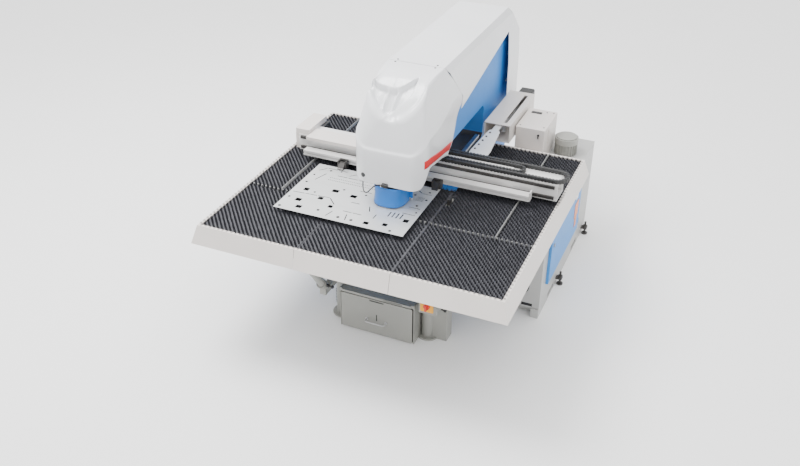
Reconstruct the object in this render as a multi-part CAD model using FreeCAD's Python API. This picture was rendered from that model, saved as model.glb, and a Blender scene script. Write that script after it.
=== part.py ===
import FreeCAD, Part
import math
import os

from FreeCAD import Vector

# A punching machine: a C-frame with one indexing punching head, a brush table round it, and a beam
# that carries the sheet in clamps. Millimetres. +X is the operator's right, +Y runs back along the
# arm, +Z is up. Places below are counted from the floor straight below the punch; save() then moves
# every piece forward by centre_y, so that the origin is the middle of the footprint, on the floor.

# ---- overall ----
table_width = 2200
table_front = -870
table_rear = 1150
table_height = 980
machine_height = 1880
machine_rear = 2050
run_gap = 0.3            # air between pieces that move past each other
fit_gap = 0.05           # radial clearance of a shaft, ram or pin in its hole

# ---- table ----
module_edge = 345        # x of the joints between the centre module and the wings
row_joint = -207         # y of the joint between the front and rear brush rows
wing_joint = 820         # x of the joint inside each rear wing
joint_gap = 3
apron_height = 135
apron_flare = 40
apron_wall = 3
lip_width = 20
brush_plate = 15
brush_rise = 16          # bristle tips above the apron's top edge
plate_top = table_height - 15
tube = 50
brush_top = table_height + brush_rise
frame_top = plate_top - brush_plate
centre_rear = 300        # y where the centre module ends and the saddle's bay begins
inner_x = table_width / 2 - apron_wall
centre_y = (table_front - apron_flare + machine_rear) / 2

# ---- sheet, clamps and punching tools ----
sheet_width = 991
sheet_depth = 702
sheet_left = -733
sheet_front = -473
sheet_thickness = 2
jaw_plate = 4
sheet_bottom = brush_top + 2 * run_gap + jaw_plate
sheet_top = sheet_bottom + sheet_thickness
punch_radius = 10
sheet_hole = 11
tool_radius = 44.9
holder_radius = 65
ram_radius = 50
ram_travel = 30
punch_travel = 9
tool_bottom = sheet_top + run_gap + ram_travel

# ---- C-frame ----
frame_half = 200
head_front = -115
frame_plate = 40
throat_top = 1215
throat_rear = 1330
arm_top = 890            # top of the lower arm below the table
bed_top = 930            # top of the lower arm below the saddle
frame_rear = 2020
frame_top_edge = 1800
plate_thickness = 50
housing_rear = 140
seat_radius = 100        # outside of the die seat bored in the lower arm
foot_half = 330
anchor_x = 290
anchor_front = 260
anchor_rear = 1960
anchor_radius = 13

# ---- covers ----
cover_wall = 4
skirt_half = 272
seam_low = (447, 1182)
seam_knee = (654, 1563)
seam_top = (357, machine_height)
nose_front = -150
nose_rim = 1160
ledge_height = 1432
window_rear = 1760
rear_cover_bottom = 1000
cover_screw_radius = 3
screw_places = [(x, seam_top[0] + dy) for x in (-150, 150) for dy in (-22, 26)]
plug_radius = 17
plug_centre = (-176, nose_front + 18, 1214)
plug_toward = (-0.45, -0.89, 0)
guard_hinge = (132, -14)
cable_radius = 4
cable_route = [
    (-192, head_front - 4.3, 1290), (-192, head_front - 4.6, 1230), (-192, -127, 1170), (-186, -150, 1120),
    (-160, -186, 1100), (-126, -206, 1112), (-100, -200, 1146), (-72, -163.5, 1170), (-34, -163.5, 1170),
]

# ---- beam and drives ----
beam_left = -990
beam_right = 1077
beam_front = 380
beam_depth = 180
beam_bottom = 1010
beam_height = 130
beam_top = beam_bottom + beam_height
rail_half = 900
rail_front = 280
rail_depth = 64
rail_bottom = 1020
rail_height = 42
clamp_places = (-545, 220)
clamp_width = 70
jaw_pivot = (246, 1036)
y_forward = 100
y_back = 470
slide_rail_x = 172
saddle_half = 280
saddle_front = 420
saddle_rear = 700
screw_x = 400
screw_z = 1100
screw_radius = 16
drive_front = 1090
drive_rear = 1775
drive_left = 290
drive_right = 500
drive_bottom = 1030
drive_top = 1180
sheet_metal = 6
wall_room = 8            # from the rear wall to where the screw steps down

# ---- slug drawer, columns, switch ----
drawer_half = 285
drawer_front = -351
drawer_top = 315
drawer_depth = 460
column_x = 351
column_y = -190
column_radius = 50
strut_radius = 30
bracket_top = 420
valve_right = 505
valve_front = -215
valve_top = 302
switch_size = 100
switch_x = 395
switch_z = 380

# ---- cabinet at the right rear ----
cab_left = 560
cab_right = 1045
cab_front = 330
cab_rear = 1800
cab_bottom = 80
cab_top = 838
door_front = 475
door_rear = 1360
door_bottom = 240
door_top = 815
door_thick = 22
door_hinge = (cab_right + 13, door_rear + 14)
fan_x = 868
fan_y = 1500
fan_radius = 95


def block(x, y, z):
    """A box from three (low, high) pairs."""
    return Part.makeBox(x[1] - x[0], y[1] - y[0], z[1] - z[0], Vector(x[0], y[0], z[0]))


def rod(radius, start, end):
    """A round bar from one point to another."""
    a = Vector(*start)
    along = Vector(*end) - a
    return Part.makeCylinder(radius, along.Length, a, along)


def ball_lever(start, end, radius, ball):
    """A round bar with a ball at its end, turned as one piece; the ball has a small flat at its tip."""
    a = Vector(*start)
    along = Vector(*end) - a
    reach = along.Length
    flat = ball / 6
    neck = reach - math.sqrt(ball ** 2 - radius ** 2)
    tip = reach + math.sqrt(ball ** 2 - flat ** 2)
    corners = [Vector(flat, 0, tip), Vector(0, 0, tip), Vector(0, 0, 0), Vector(radius, 0, 0), Vector(radius, 0, neck)]
    outline = Part.makePolygon(corners).Edges
    outline.append(Part.Arc(corners[-1], Vector(ball, 0, reach), corners[0]).toShape())
    lever = Part.Face(Part.Wire(outline)).revolve(Vector(0, 0, 0), Vector(0, 0, 1), 360)
    lever.Placement = FreeCAD.Placement(a, FreeCAD.Rotation(Vector(0, 0, 1), along))
    return lever


def face_of(points):
    return Part.Face(Part.makePolygon([Vector(*p) for p in points] + [Vector(*points[0])]))


def side_prism(outline, x):
    """An outline of (y, z) points carried from x[0] to x[1]."""
    return face_of([(x[0], y, z) for y, z in outline]).extrude(Vector(x[1] - x[0], 0, 0))


def plan_prism(outline, z):
    """An outline of (x, y) points carried from z[0] to z[1]."""
    return face_of([(x, y, z[0]) for x, y in outline]).extrude(Vector(0, 0, z[1] - z[0]))


def front_prism(outline, y):
    """An outline of (x, z) points carried from y[0] to y[1]."""
    return face_of([(x, y[0], z) for x, z in outline]).extrude(Vector(0, y[1] - y[0], 0))


def mirrored(half):
    """A closed (x, z) outline from its right-hand side, listed from bottom to top."""
    return list(half) + [(-x, z) for x, z in reversed(half)]


def other_side(shape):
    return shape.mirror(Vector(0, 0, 0), Vector(1, 0, 0))


def pair(shape):
    """The shape and its mirror image across the machine's middle plane."""
    return Part.makeCompound([shape, other_side(shape)])


def rounded_path(points):
    """Straight runs joined by tangent arcs, each as large as its two runs allow."""
    points = [Vector(*p) for p in points]
    edges = []
    start = points[0]
    radii = []
    for before, corner, after in zip(points, points[1:], points[2:]):
        into = (corner - before).normalize()
        out = (after - corner).normalize()
        turn = into.getAngle(out)
        reach = 0.45 * min((corner - before).Length, (after - corner).Length)
        radii.append(reach / math.tan(turn / 2))
        a = corner - into * reach
        b = corner + out * reach
        middle = (out - into).normalize()
        bulge = radii[-1] / math.cos(turn / 2) - radii[-1]
        edges.append(Part.LineSegment(start, a).toShape())
        edges.append(Part.Arc(a, corner + middle * bulge, b).toShape())
        start = b
    edges.append(Part.LineSegment(start, points[-1]).toShape())
    print("bend radii", [round(r) for r in radii], "length", round(sum(e.Length for e in edges)))
    return Part.Wire(edges)


def round_pipe(points, radius):
    """A round bar or cable along a rounded path."""
    path = rounded_path(points)
    first = path.Edges[0]
    ring = Part.Wire(Part.makeCircle(radius, first.firstVertex().Point, first.tangentAt(first.FirstParameter)))
    return path.makePipeShell([ring], True, False)


def edges_along(shape, direction, test):
    """Straight edges in one direction whose middle passes the test."""
    found = []
    for edge in shape.Edges:
        if not isinstance(edge.Curve, Part.Line):
            continue
        if abs(edge.tangentAt(edge.FirstParameter).dot(Vector(*direction))) > 0.999 and test(edge.CenterOfMass):
            found.append(edge)
    return found


def save(name, shape):
    os.makedirs("parts", exist_ok=True)
    shape = shape.copy()
    shape.translate(Vector(0, -centre_y, 0))
    shape.exportStep("parts/" + name + ".step")
    if not shape.isValid():
        print("not valid:", name)


# ---------------------------------------------------------------- C-frame and base

def c_frame():
    """Welded box-section C: side plates, flanges, open towards the top, bored for ram and slugs."""
    outline = [
        (head_front, throat_top), (throat_rear, throat_top), (throat_rear, bed_top),
        (centre_rear + 20, bed_top), (centre_rear + 20, arm_top), (-205, arm_top), (-205, 560),
        (housing_rear + 60, bracket_top), (housing_rear + 60, plate_thickness),
        (frame_rear, plate_thickness), (frame_rear, 1600), (frame_rear - 210, frame_top_edge),
        (260, frame_top_edge), (-60, 1620), (head_front, 1480),
    ]
    body = side_prism(outline, (-frame_half, frame_half))
    throat = edges_along(body, (1, 0, 0), lambda c: abs(c.y - throat_rear) < 1 and c.z > bed_top - 1)
    body = body.makeFillet(45, throat)
    inner = frame_half - frame_plate
    hollow = [
        (300, throat_top + 45), (throat_rear + 60, throat_top + 45), (throat_rear + 60, bed_top - 60),
        (300, arm_top - 60), (300, 520), (housing_rear + 110, 450), (housing_rear + 110, plate_thickness + 40),
        (frame_rear - 45, plate_thickness + 40), (frame_rear - 45, frame_top_edge + 5),
        (300, frame_top_edge + 5),
    ]
    body = body.cut(side_prism(hollow, (-inner, inner)))
    body = body.cut(rod(90 + fit_gap, (0, 0, throat_top - 1), (0, 0, 1900)))
    body = body.fuse(foot_plate()).fuse(rod(seat_radius, (0, 0, arm_top - 1), (0, 0, brush_top - 6)))
    for arm in outriggers():
        body = body.fuse(arm)
    body = body.cut(rod(holder_radius + fit_gap, (0, 0, arm_top + 10), (0, 0, 1100)))
    return body.cut(rod(45, (0, 0, 300), (0, 0, arm_top + 20)))


def foot_plate():
    """The C-frame's foot, with four anchor holes."""
    plate = block((-foot_half, foot_half), (housing_rear + 4, machine_rear - 10), (0, plate_thickness + 1))
    for x in (-anchor_x, anchor_x):
        for y in (anchor_front, anchor_rear):
            plate = plate.cut(rod(anchor_radius, (x, y, -1), (x, y, plate_thickness + 2)))
    return plate


def ram_housing():
    """Hydraulic cylinder block in the head, with a flange below the arm and a bore for the ram."""
    body = rod(90, (0, 0, throat_top), (0, 0, 1640)).fuse(rod(120, (0, 0, throat_top - 22), (0, 0, throat_top)))
    body = body.cut(rod(ram_radius + fit_gap, (0, 0, 1100), (0, 0, 1560)))
    for i in range(8):
        a = math.radians(45 * i + 22.5)
        x, y = 105 * math.cos(a), 105 * math.sin(a)
        body = body.fuse(Part.makeCylinder(7, 9, Vector(x, y, throat_top - 31)))
    return body


def slug_housing():
    """Folded housing round the drawer: two walls, back, top with a chute hole, and runner ledges."""
    wall_x = drawer_half + 7
    back = housing_rear
    shell = block((-wall_x - 6, wall_x + 6), (drawer_front + 8, back), (0, drawer_top + 30))
    shell = shell.cut(block((-wall_x, wall_x), (drawer_front, back - 6), (-1, drawer_top + 4)))
    shell = shell.cut(rod(48, (0, 0, drawer_top), (0, 0, drawer_top + 40)))
    for side in (-1, 1):
        xs = sorted((side * wall_x, side * (wall_x - 38)))
        shell = shell.fuse(block(xs, (drawer_front + 10, back - 6), (6, 15 - run_gap)))
    lip = block((-drawer_half + 10, drawer_half - 10), (drawer_front - 5, drawer_front + 12),
                (drawer_top + 12, drawer_top + 30))
    slot = block((60, 210), (drawer_front - 6, drawer_front + 4), (drawer_top + 18, drawer_top + 25))
    chute = rod(50, (0, 0, drawer_top + 10), (0, 0, bracket_top + 44)).cut(rod(46, (0, 0, 0), (0, 0, 600)))
    return shell.fuse(lip.cut(slot)).fuse(chute)


def slug_drawer():
    half = drawer_half - 20
    tray = block((-half, half), (drawer_front + 6, drawer_front + drawer_depth), (15, drawer_top - 65))
    tray = tray.cut(block((-half + 4, half - 4), (drawer_front + 10, drawer_front + drawer_depth - 4),
                          (19, drawer_top)))
    front = block((-drawer_half, drawer_half), (drawer_front, drawer_front + 6), (8, drawer_top))
    corners = edges_along(front, (0, 1, 0), lambda c: True)
    return front.makeFillet(8, corners).fuse(tray)


def drawer_handle():
    """Bent round bar on two small flanges."""
    reach, half, z = 38, 77, 130
    y = drawer_front
    route = [(-half, y, z), (-half, y - reach, z), (half, y - reach, z), (half, y, z)]
    bar = round_pipe(route, 6)
    for side in (-1, 1):
        bar = bar.fuse(rod(12, (side * half, y, z), (side * half, y - 4, z)))
    return bar


def support_columns():
    """Round front columns from floor to table: an arm for the strut on the left, a valve box on the right."""
    top = frame_top - tube
    post = rod(column_radius, (column_x, column_y, 12), (column_x, column_y, top))
    post = post.fuse(rod(82, (column_x, column_y, 0), (column_x, column_y, 14)))
    post = post.cut(block((0, drawer_half + 13 + run_gap), (-600, 200), (-1, 400)))
    post = post.fuse(block((frame_half + 0.2, column_x), (column_y + 5, column_y + 45), (600, 700)))
    arm = block((-column_x - 25, -column_x + 25), (-505, column_y), (bracket_top - 50, bracket_top))
    box = block((column_x + 30, valve_right), (valve_front, valve_front + 110), (0, valve_top))
    box = box.makeFillet(6, edges_along(box, (0, 0, 1), lambda c: c.x > valve_right - 1))
    return Part.makeCompound([other_side(post).fuse(arm), post.fuse(box)])


def table_strut():
    """Slanting round strut from the left column's arm up to the table's front."""
    x = -column_x
    bar = rod(strut_radius, (x, -430, bracket_top - 60), (x, -850, frame_top - tube + 60))
    room = block((x - 100, x + 100), (-1000, 0), (bracket_top, frame_top - tube))
    collar = rod(strut_radius + 7, (x, -487, bracket_top + 22), (x, -523, bracket_top + 62))
    return bar.common(room).fuse(collar)


def strut_lever():
    """Clamp lever on the inner side of the strut's collar."""
    x = -column_x + strut_radius + 7 + run_gap
    y, z = -505, bracket_top + 42
    hub = rod(13, (x, y, z), (x + 16, y, z))
    return hub.fuse(ball_lever((x + 9, y, z), (x + 52, y - 18, z + 12), 5, 13))


def valve_lever():
    """Black hand lever on the valve box's front."""
    x, y, z = valve_right - 14, valve_front - run_gap, valve_top - 16
    hub = rod(11, (x, y, z), (x, y - 18, z))
    return hub.fuse(ball_lever((x, y - 12.5, z), (x - 66, y - 12.5, z + 9), 4.5, 11))


def switch_box():
    box = block((switch_x - 62, switch_x + 75), (drawer_front + 6, column_y - 60), (switch_z - 70, switch_z + 62))
    box = box.makeFillet(5, edges_along(box, (0, 1, 0), lambda c: True))
    arm = block((column_x - 20, column_x + 20), (column_y - 61, column_y - column_radius + 12),
                (switch_z - 40, switch_z - 15))
    post = rod(column_radius + 0.2, (column_x, column_y, 300), (column_x, column_y, 500))
    lamp = rod(9, (switch_x + 63, drawer_front + 6, switch_z + 5), (switch_x + 63, drawer_front - 2, switch_z + 5))
    return box.fuse(arm.cut(post)).fuse(lamp)


def switch_plate():
    half = switch_size / 2
    plate = block((switch_x - half, switch_x + half), (drawer_front + 2, drawer_front + 6),
                  (switch_z - half, switch_z + half))
    return plate.makeFillet(8, edges_along(plate, (0, 1, 0), lambda c: True))


def switch_knob():
    y = drawer_front + 2 - run_gap
    knob = rod(24, (switch_x, y, switch_z), (switch_x, y - 10, switch_z))
    grip = block((switch_x - 7, switch_x + 7), (y - 30, y - 8), (switch_z - 26, switch_z + 26))
    return knob.fuse(grip.makeFillet(3, edges_along(grip, (0, 1, 0), lambda c: True)))


# ---------------------------------------------------------------- table

def ladder_frame(x, y, crossings):
    """A welded rectangle of square tube with cross tubes at the given y places."""
    z = (frame_top - tube, frame_top)
    frame = block(x, y, z).cut(block((x[0] + tube, x[1] - tube), (y[0] + tube, y[1] - tube), (0, 2000)))
    for place in crossings:
        frame = frame.fuse(block((x[0] + 1, x[1] - 1), (place - tube / 2, place + tube / 2), z))
    return frame


def table_frame_centre():
    frame = ladder_frame((-module_edge + 1, module_edge - 1), (table_front + 8, centre_rear - 5), [row_joint])
    for side in (-1, 1):
        xs = sorted((side * 130, side * 190))
        frame = frame.fuse(block(xs, (row_joint + 20, centre_rear - 6), (arm_top, frame_top)))
    return frame


def table_wings():
    y = (table_front + 8, table_rear - 8)
    return pair(ladder_frame((module_edge + 1, inner_x - 6), y, [row_joint, row_joint + 640]))


def outriggers():
    """Welded brackets that carry the rear of the wings on the C-frame's sides."""
    parts = []
    for y in (520, 1000):
        arm = block((frame_half - 1, module_edge + 90), (y, y + 60), (frame_top - tube - 50, frame_top - tube))
        web = side_prism([(y + 20, 650), (y + 40, 650), (y + 40, frame_top - tube - 49),
                          (y + 20, frame_top - tube - 49)], (frame_half - 1, frame_half + 20))
        parts += [arm, web, other_side(arm), other_side(web)]
    return parts


def brush_panel(x, y, outer):
    """Plate and bristle field; the field stands back by the lip on the sides named in outer."""
    edge = {side: lip_width + 4 if side in outer else joint_gap / 2 for side in ("left", "right", "front", "rear")}
    plate = block((x[0] + 0.5, x[1] - 0.5), (y[0] + 0.5, y[1] - 0.5), (frame_top, plate_top))
    field = block((x[0] + edge["left"], x[1] - edge["right"]), (y[0] + edge["front"], y[1] - edge["rear"]),
                  (plate_top - 1, brush_top))
    return plate.fuse(field)


def brush_front_centre():
    return brush_panel((-module_edge, module_edge), (table_front + apron_wall, row_joint), ("front",))


def brush_front_wings():
    return pair(brush_panel((module_edge, inner_x), (table_front + apron_wall, row_joint), ("front", "right")))


def stop_slot(gap):
    """Room for the reference stop in the right wing, with a gap all round."""
    return block((module_edge + 6 - gap, module_edge + 26 + gap), (120 - gap, 165 + gap), (frame_top, 2000))


def brush_rear_wings():
    rear = table_rear - apron_wall
    inner = brush_panel((module_edge, wing_joint), (row_joint, rear), ("rear",))
    outer = brush_panel((wing_joint, inner_x), (row_joint, rear), ("rear", "right"))
    groove = block((module_edge - 1, module_edge + 32), (96, 393), (plate_top, 2000))
    right = inner.cut(groove).cut(stop_slot(run_gap))
    return Part.makeCompound([right, outer, other_side(inner), other_side(outer)])


def brush_rear_centre():
    panel = brush_panel((-module_edge, module_edge), (row_joint, centre_rear), ())
    return panel.cut(rod(seat_radius + 3, (0, 0, 900), (0, 0, 1100)))


def reference_stop():
    body = block((module_edge + 6, module_edge + 26), (120, 165), (frame_top, brush_top - 2))
    return body.makeFillet(3, edges_along(body, (0, 0, 1), lambda c: True))


def tapered_ring(grow_in):
    """A four-sided block that widens downwards by the flare, drawn in by grow_in on each side."""
    sections = []
    for z, flare in ((table_height - apron_height, apron_flare), (table_height, 0)):
        x = table_width / 2 + flare - grow_in
        y0 = table_front - flare + grow_in
        y1 = table_rear + flare - grow_in
        ring = [Vector(-x, y0, z), Vector(x, y0, z), Vector(x, y1, z), Vector(-x, y1, z), Vector(-x, y0, z)]
        sections.append(Part.makePolygon(ring))
    return Part.makeLoft(sections, True, True)


def apron_ring():
    """The folded sheet all round the table: flared skirt, top lip and the lip's downturned edge."""
    skirt = tapered_ring(0).cut(tapered_ring(apron_wall))
    half = table_width / 2 - 0.5
    y0, y1 = table_front + 0.5, table_rear - 0.5
    lip = block((-half, half), (y0, y1), (table_height - apron_wall, table_height))
    inner = lip_width
    opening = block((-half + inner, half - inner), (y0 + inner, y1 - inner), (0, 2000))
    edge = block((-half + inner - 3, half - inner + 3), (y0 + inner - 3, y1 - inner + 3),
                 (plate_top, table_height - apron_wall + 0.5))
    return skirt.fuse(lip.cut(opening)).fuse(edge.cut(opening))


def corner_mask(side):
    """The plan area that belongs to one side of the ring, mitred at the corners."""
    half = table_width / 2
    mid = (table_front + table_rear) / 2
    depth = (table_rear - table_front) / 2
    far = 300
    inset = 200
    if side in ("front", "rear"):
        sign = -1 if side == "front" else 1
        y_edge = mid + sign * depth
        outline = [(-half - far, y_edge + sign * far), (half + far, y_edge + sign * far),
                   (half - inset, y_edge - sign * inset), (-half + inset, y_edge - sign * inset)]
    else:
        outline = [(half + far, mid - depth - far), (half + far, mid + depth + far),
                   (half - inset, mid + depth - inset), (half - inset, mid - depth + inset)]
    return plan_prism(outline, (0, 2000))


def cut_out(shape, spans):
    """The shape with bands between x limits taken away."""
    for low, high in spans:
        shape = shape.cut(block((low, high), (-2000, 3000), (0, 2000)))
    return shape


def apron_front():
    ring = apron_ring().common(corner_mask("front"))
    gap = joint_gap / 2
    return cut_out(ring, [(-module_edge - gap, -module_edge + gap), (module_edge - gap, module_edge + gap)])


def side_and_rear_aprons():
    side = apron_ring().common(corner_mask("right"))
    rear = cut_out(apron_ring().common(corner_mask("rear")), [(-module_edge, module_edge)])
    return Part.makeCompound([side, other_side(side)] + rear.Solids)


# ---------------------------------------------------------------- covers

def cover_section(inset, low):
    """Half of the covers' cross-section, drawn in by inset, from the rim up to the flat top."""
    return [(skirt_half - inset, low), (skirt_half - 4 - inset, ledge_height),
            (skirt_half - 14 - inset, ledge_height + 10), (236 - inset, 1830), (210 - inset, machine_height - inset)]


def nose_body(inset):
    """Side outline, plan outline and cross-section meeting in one body.

    With an inset it is the space inside, which runs out through the underside and the seam.
    """
    rim = nose_rim if inset == 0 else nose_rim - 20
    step = rim + 70 if inset == 0 else rim
    past = 0 if inset == 0 else 60
    front = nose_front + inset
    side = [
        (front, rim), (-30, rim), (-10, step), (seam_low[0] + past, seam_low[1] if inset == 0 else rim),
        (seam_knee[0] + past, seam_knee[1]), (seam_top[0] + past, machine_height - inset),
        (200, machine_height - inset), (60, 1800 - inset), (-90, 1655 - inset), (-135 + inset, ledge_height + 10),
        (front, ledge_height),
    ]
    body = side_prism(side, (-400, 400))
    body = body.common(front_prism(mirrored(cover_section(inset, rim - 1)), (-400, 900)))
    plan = block((-skirt_half + inset, skirt_half - inset), (front, 900), (900, 2000))
    corners = edges_along(plan, (0, 0, 1), lambda c: c.y < front + 1)
    return body.common(plan.makeFillet(110 - inset, corners))


def nose_cover():
    """Moulded nose with an open underside and back, and a rib that sits on the C-frame's top."""
    shell = nose_body(0).cut(nose_body(cover_wall))
    rib = block((-90, 90), (300, 315), (frame_top_edge, machine_height - 2))
    tabs = [block(xs, (60, 110), (1300, 1330)) for xs in ((-268, -frame_half), (frame_half, 268))]
    shell = shell.fuse(rib).fuse(tabs[0]).fuse(tabs[1])
    return screw_holes(shell.cut(plug_rod(plug_radius + fit_gap, 0, 30)))


def arm_outline(inset, gap):
    return [
        (seam_top[0] + gap, machine_height - inset), (seam_knee[0] + gap, seam_knee[1]), (620 + gap, 1480),
        (window_rear + inset, 1699), (window_rear + inset, rear_cover_bottom), (machine_rear - inset, rear_cover_bottom),
        (machine_rear - inset, 1635), (1800, machine_height - inset),
    ]


def arm_cover():
    """Folded cover over the arm and down the rear, open below and along the window in each side."""
    section = [(262, rear_cover_bottom - 1)] + [(258, 1440), (236, 1830), (210, machine_height)]
    outer = side_prism(arm_outline(0, 2), (-400, 400)).common(front_prism(mirrored(section), (0, 2500)))
    inner_section = [(x - cover_wall, z) for x, z in section[:3]] + [(210 - cover_wall, machine_height - cover_wall)]
    inner_side = [(0, rear_cover_bottom - 5), (machine_rear - cover_wall, rear_cover_bottom - 5),
                  (machine_rear - cover_wall, 1635 - 2), (1800, machine_height - cover_wall),
                  (0, machine_height - cover_wall)]
    inner = side_prism(inner_side, (-400, 400)).common(
        front_prism(mirrored([(258, rear_cover_bottom - 6)] + inner_section[1:]), (-1, 2500)))
    shell = outer.cut(inner)
    for y in (700, 1500):
        shell = shell.fuse(block((-120, 120), (y, y + 15), (frame_top_edge, machine_height - 2)))
    for low, high in ((-259, -frame_half), (frame_half, 259)):
        shell = shell.fuse(block((low, high), (1900, 1960), (1200, 1212)))
    return screw_holes(shell)


def cover_screws():
    """Round-head screws through the covers' top, either side of the seam."""
    screws = []
    for x, y in screw_places:
        head = rod(7, (x, y, machine_height), (x, y, machine_height + 3))
        head = head.makeFillet(2.2, [e for e in head.Edges if e.BoundBox.ZMin > machine_height + 2])
        screws.append(head.fuse(rod(cover_screw_radius, (x, y, machine_height - 12), (x, y, machine_height + 0.5))))
    return Part.makeCompound(screws)


def screw_holes(shell):
    for x, y in screw_places:
        shell = shell.cut(rod(cover_screw_radius + fit_gap, (x, y, machine_height - 20), (x, y, machine_height + 1)))
    return shell


# ---------------------------------------------------------------- punching tools

def ram():
    body = rod(ram_radius, (0, 0, 1135), (0, 0, 1500))
    return body.fuse(rod(30, (0, 0, 1100), (0, 0, 1136)))


def tool_holder():
    """Index sleeve that turns on the ram's spigot and holds the tool below."""
    top = 1135 - run_gap
    body = rod(holder_radius, (0, 0, tool_bottom + 18), (0, 0, top))
    body = body.cut(rod(30 + fit_gap, (0, 0, 1099), (0, 0, top + 1)))
    body = body.cut(rod(tool_radius + 0.1, (0, 0, 900), (0, 0, 1100 - run_gap)))
    for i in range(24):
        a = math.radians(15 * i)
        tooth = rod(3, (68 * math.cos(a), 68 * math.sin(a), top - 26), (68 * math.cos(a), 68 * math.sin(a), top - 4))
        body = body.cut(tooth)
    return body


def multi_tool():
    body = rod(tool_radius, (0, 0, tool_bottom + 6), (0, 0, 1100 - 2 * run_gap))
    body = body.cut(rod(punch_radius + fit_gap, (0, 0, 1000), (0, 0, 1090)))
    body = body.cut(rod(16, (0, 0, 1058), (0, 0, 1092)))
    for i in range(6):
        a = math.radians(60 * i)
        x, y = 28 * math.cos(a), 28 * math.sin(a)
        body = body.cut(rod(5, (x, y, tool_bottom), (x, y, tool_bottom + 20)))
    return body


def stripper():
    body = rod(tool_radius - 3, (0, 0, tool_bottom), (0, 0, tool_bottom + 6))
    body = body.cut(rod(punch_radius + 2 * run_gap, (0, 0, 1000), (0, 0, 1090)))
    for i in range(6):
        a = math.radians(60 * i)
        x, y = 28 * math.cos(a), 28 * math.sin(a)
        body = body.cut(rod(5, (x, y, 1000), (x, y, 1090)))
    return body


def punch():
    body = rod(punch_radius, (0, 0, tool_bottom + 2), (0, 0, 1078))
    return body.fuse(rod(15, (0, 0, 1058 + punch_travel + 1), (0, 0, 1078)))


def die_holder():
    """Turning lower tool: bored for the slugs, its top just below the sheet."""
    top = sheet_bottom - run_gap
    body = rod(holder_radius, (0, 0, arm_top + 10 + run_gap), (0, 0, top))
    body = body.cut(rod(punch_radius + 0.6, (0, 0, 900), (0, 0, 1100)))
    return body.cut(rod(30, (0, 0, 800), (0, 0, top - 30)))


def guard():
    """Blue scoop in front of the tool, on a vertical hinge at its right-hand rear edge."""
    low, high = sheet_top + 9, nose_rim - 12
    outer_low = [(-122, -20), (-128, -110), (-70, -182), (60, -182), (112, -120), (116, -20)]
    outer_high = [(-128, 0), (-132, -100), (-80, -160), (70, -160), (116, -100), (120, 0)]
    wires = []
    for outline, z in ((outer_low, low), (outer_high, high)):
        points = [Vector(x, y, z) for x, y in outline]
        wires.append(Part.makePolygon(points + [points[0]]))
    body = Part.makeLoft(wires, True, True)
    inner = []
    for outline, z in ((outer_low, low), (outer_high, high)):
        points = [Vector(x * 0.965, y + 5 if y < -90 else y + 30, z + (4 if z > low else -1)) for x, y in outline]
        inner.append(Part.makePolygon(points + [points[0]]))
    shell = body.cut(Part.makeLoft(inner, True, True))
    knuckle = rod(8, (guard_hinge[0], guard_hinge[1], low + 20), (guard_hinge[0], guard_hinge[1], high - 10))
    leaf = block((113, guard_hinge[0]), (guard_hinge[1] - 4, guard_hinge[1] + 2), (low + 22, high - 12))
    knuckle = knuckle.fuse(leaf)
    return shell.fuse(knuckle).cut(rod(4 + fit_gap, (*guard_hinge, 900), (*guard_hinge, 1200)))


def guard_hanger():
    """Pin and arm that hang the guard from the head's flange."""
    x, y = guard_hinge
    low = sheet_top + 9
    pin = rod(4, (x, y, low + 12), (x, y, throat_top - 30))
    head = rod(8, (x, y, low + 8), (x, y, low + 19.5))
    arm = block((60, x + 12), (y - 12, y + 12), (throat_top - 34, throat_top - 22))
    arm = arm.cut(rod(ram_radius + 6, (0, 0, 1000), (0, 0, 1300)))
    return pin.fuse(head).fuse(arm)


def plug_rod(radius, low, high):
    """A bar on the socket plug's axis between two distances from its centre."""
    start = tuple(c + low * t for c, t in zip(plug_centre, plug_toward))
    end = tuple(c + high * t for c, t in zip(plug_centre, plug_toward))
    return rod(radius, start, end)


def nose_plugs():
    """Round socket plug in the nose's left front corner, and the lead's connector on its front rim."""
    connector = block((-34, 8), (nose_front - 26, nose_front), (nose_rim - 1, nose_rim + 22))
    connector = connector.makeFillet(4, edges_along(connector, (1, 0, 0), lambda c: c.y < nose_front - 20))
    return Part.makeCompound([plug_rod(plug_radius, 8, 21), connector])


def guard_cable():
    """Sensor lead from inside the nose, down round its rim and up into the sensor."""
    return round_pipe(cable_route, cable_radius)


# ---------------------------------------------------------------- beam, clamps, drives

def y_rails():
    z = (bed_top, bed_top + 30)
    rails = []
    for side in (-1, 1):
        x = side * slide_rail_x
        rail = block((x - 17, x + 17), (centre_rear + 22, throat_rear - 46), z)
        rail = rail.cut(block((x - 18, x - 12), (0, 2000), (z[0] + 12, z[0] + 22)))
        rails.append(rail.cut(block((x + 12, x + 18), (0, 2000), (z[0] + 12, z[0] + 22))))
    return Part.makeCompound(rails)


def saddle():
    """Plate below the beam with four runner blocks astride the rails."""
    z0 = bed_top + 30 + run_gap
    plate = block((-saddle_half, saddle_half), (saddle_front, saddle_rear), (z0 + 14, beam_bottom))
    for side in (-1, 1):
        for y in (saddle_front + 10, saddle_rear - 110):
            x = side * slide_rail_x
            runner = block((x - 26, x + 26), (y, y + 100), (bed_top + 6, z0 + 15))
            runner = runner.cut(block((x - 17 - run_gap, x + 17 + run_gap), (0, 2000), (0, z0)))
            plate = plate.fuse(runner)
    return plate


def x_beam():
    """Box beam: tube wall 8, with two ledges on the front for the rails."""
    rear = beam_front + beam_depth
    beam = block((beam_left, beam_right), (beam_front, rear), (beam_bottom, beam_top))
    beam = beam.cut(block((beam_left - 1, beam_right + 1), (beam_front + 8, rear - 8), (beam_bottom + 8, beam_top - 8)))
    for z in (rail_bottom + 6, beam_top - 32):
        beam = beam.cut(block((beam_left - 1, beam_right + 1), (beam_front - 1, beam_front + 3), (z, z + 22)))
    return beam


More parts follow.
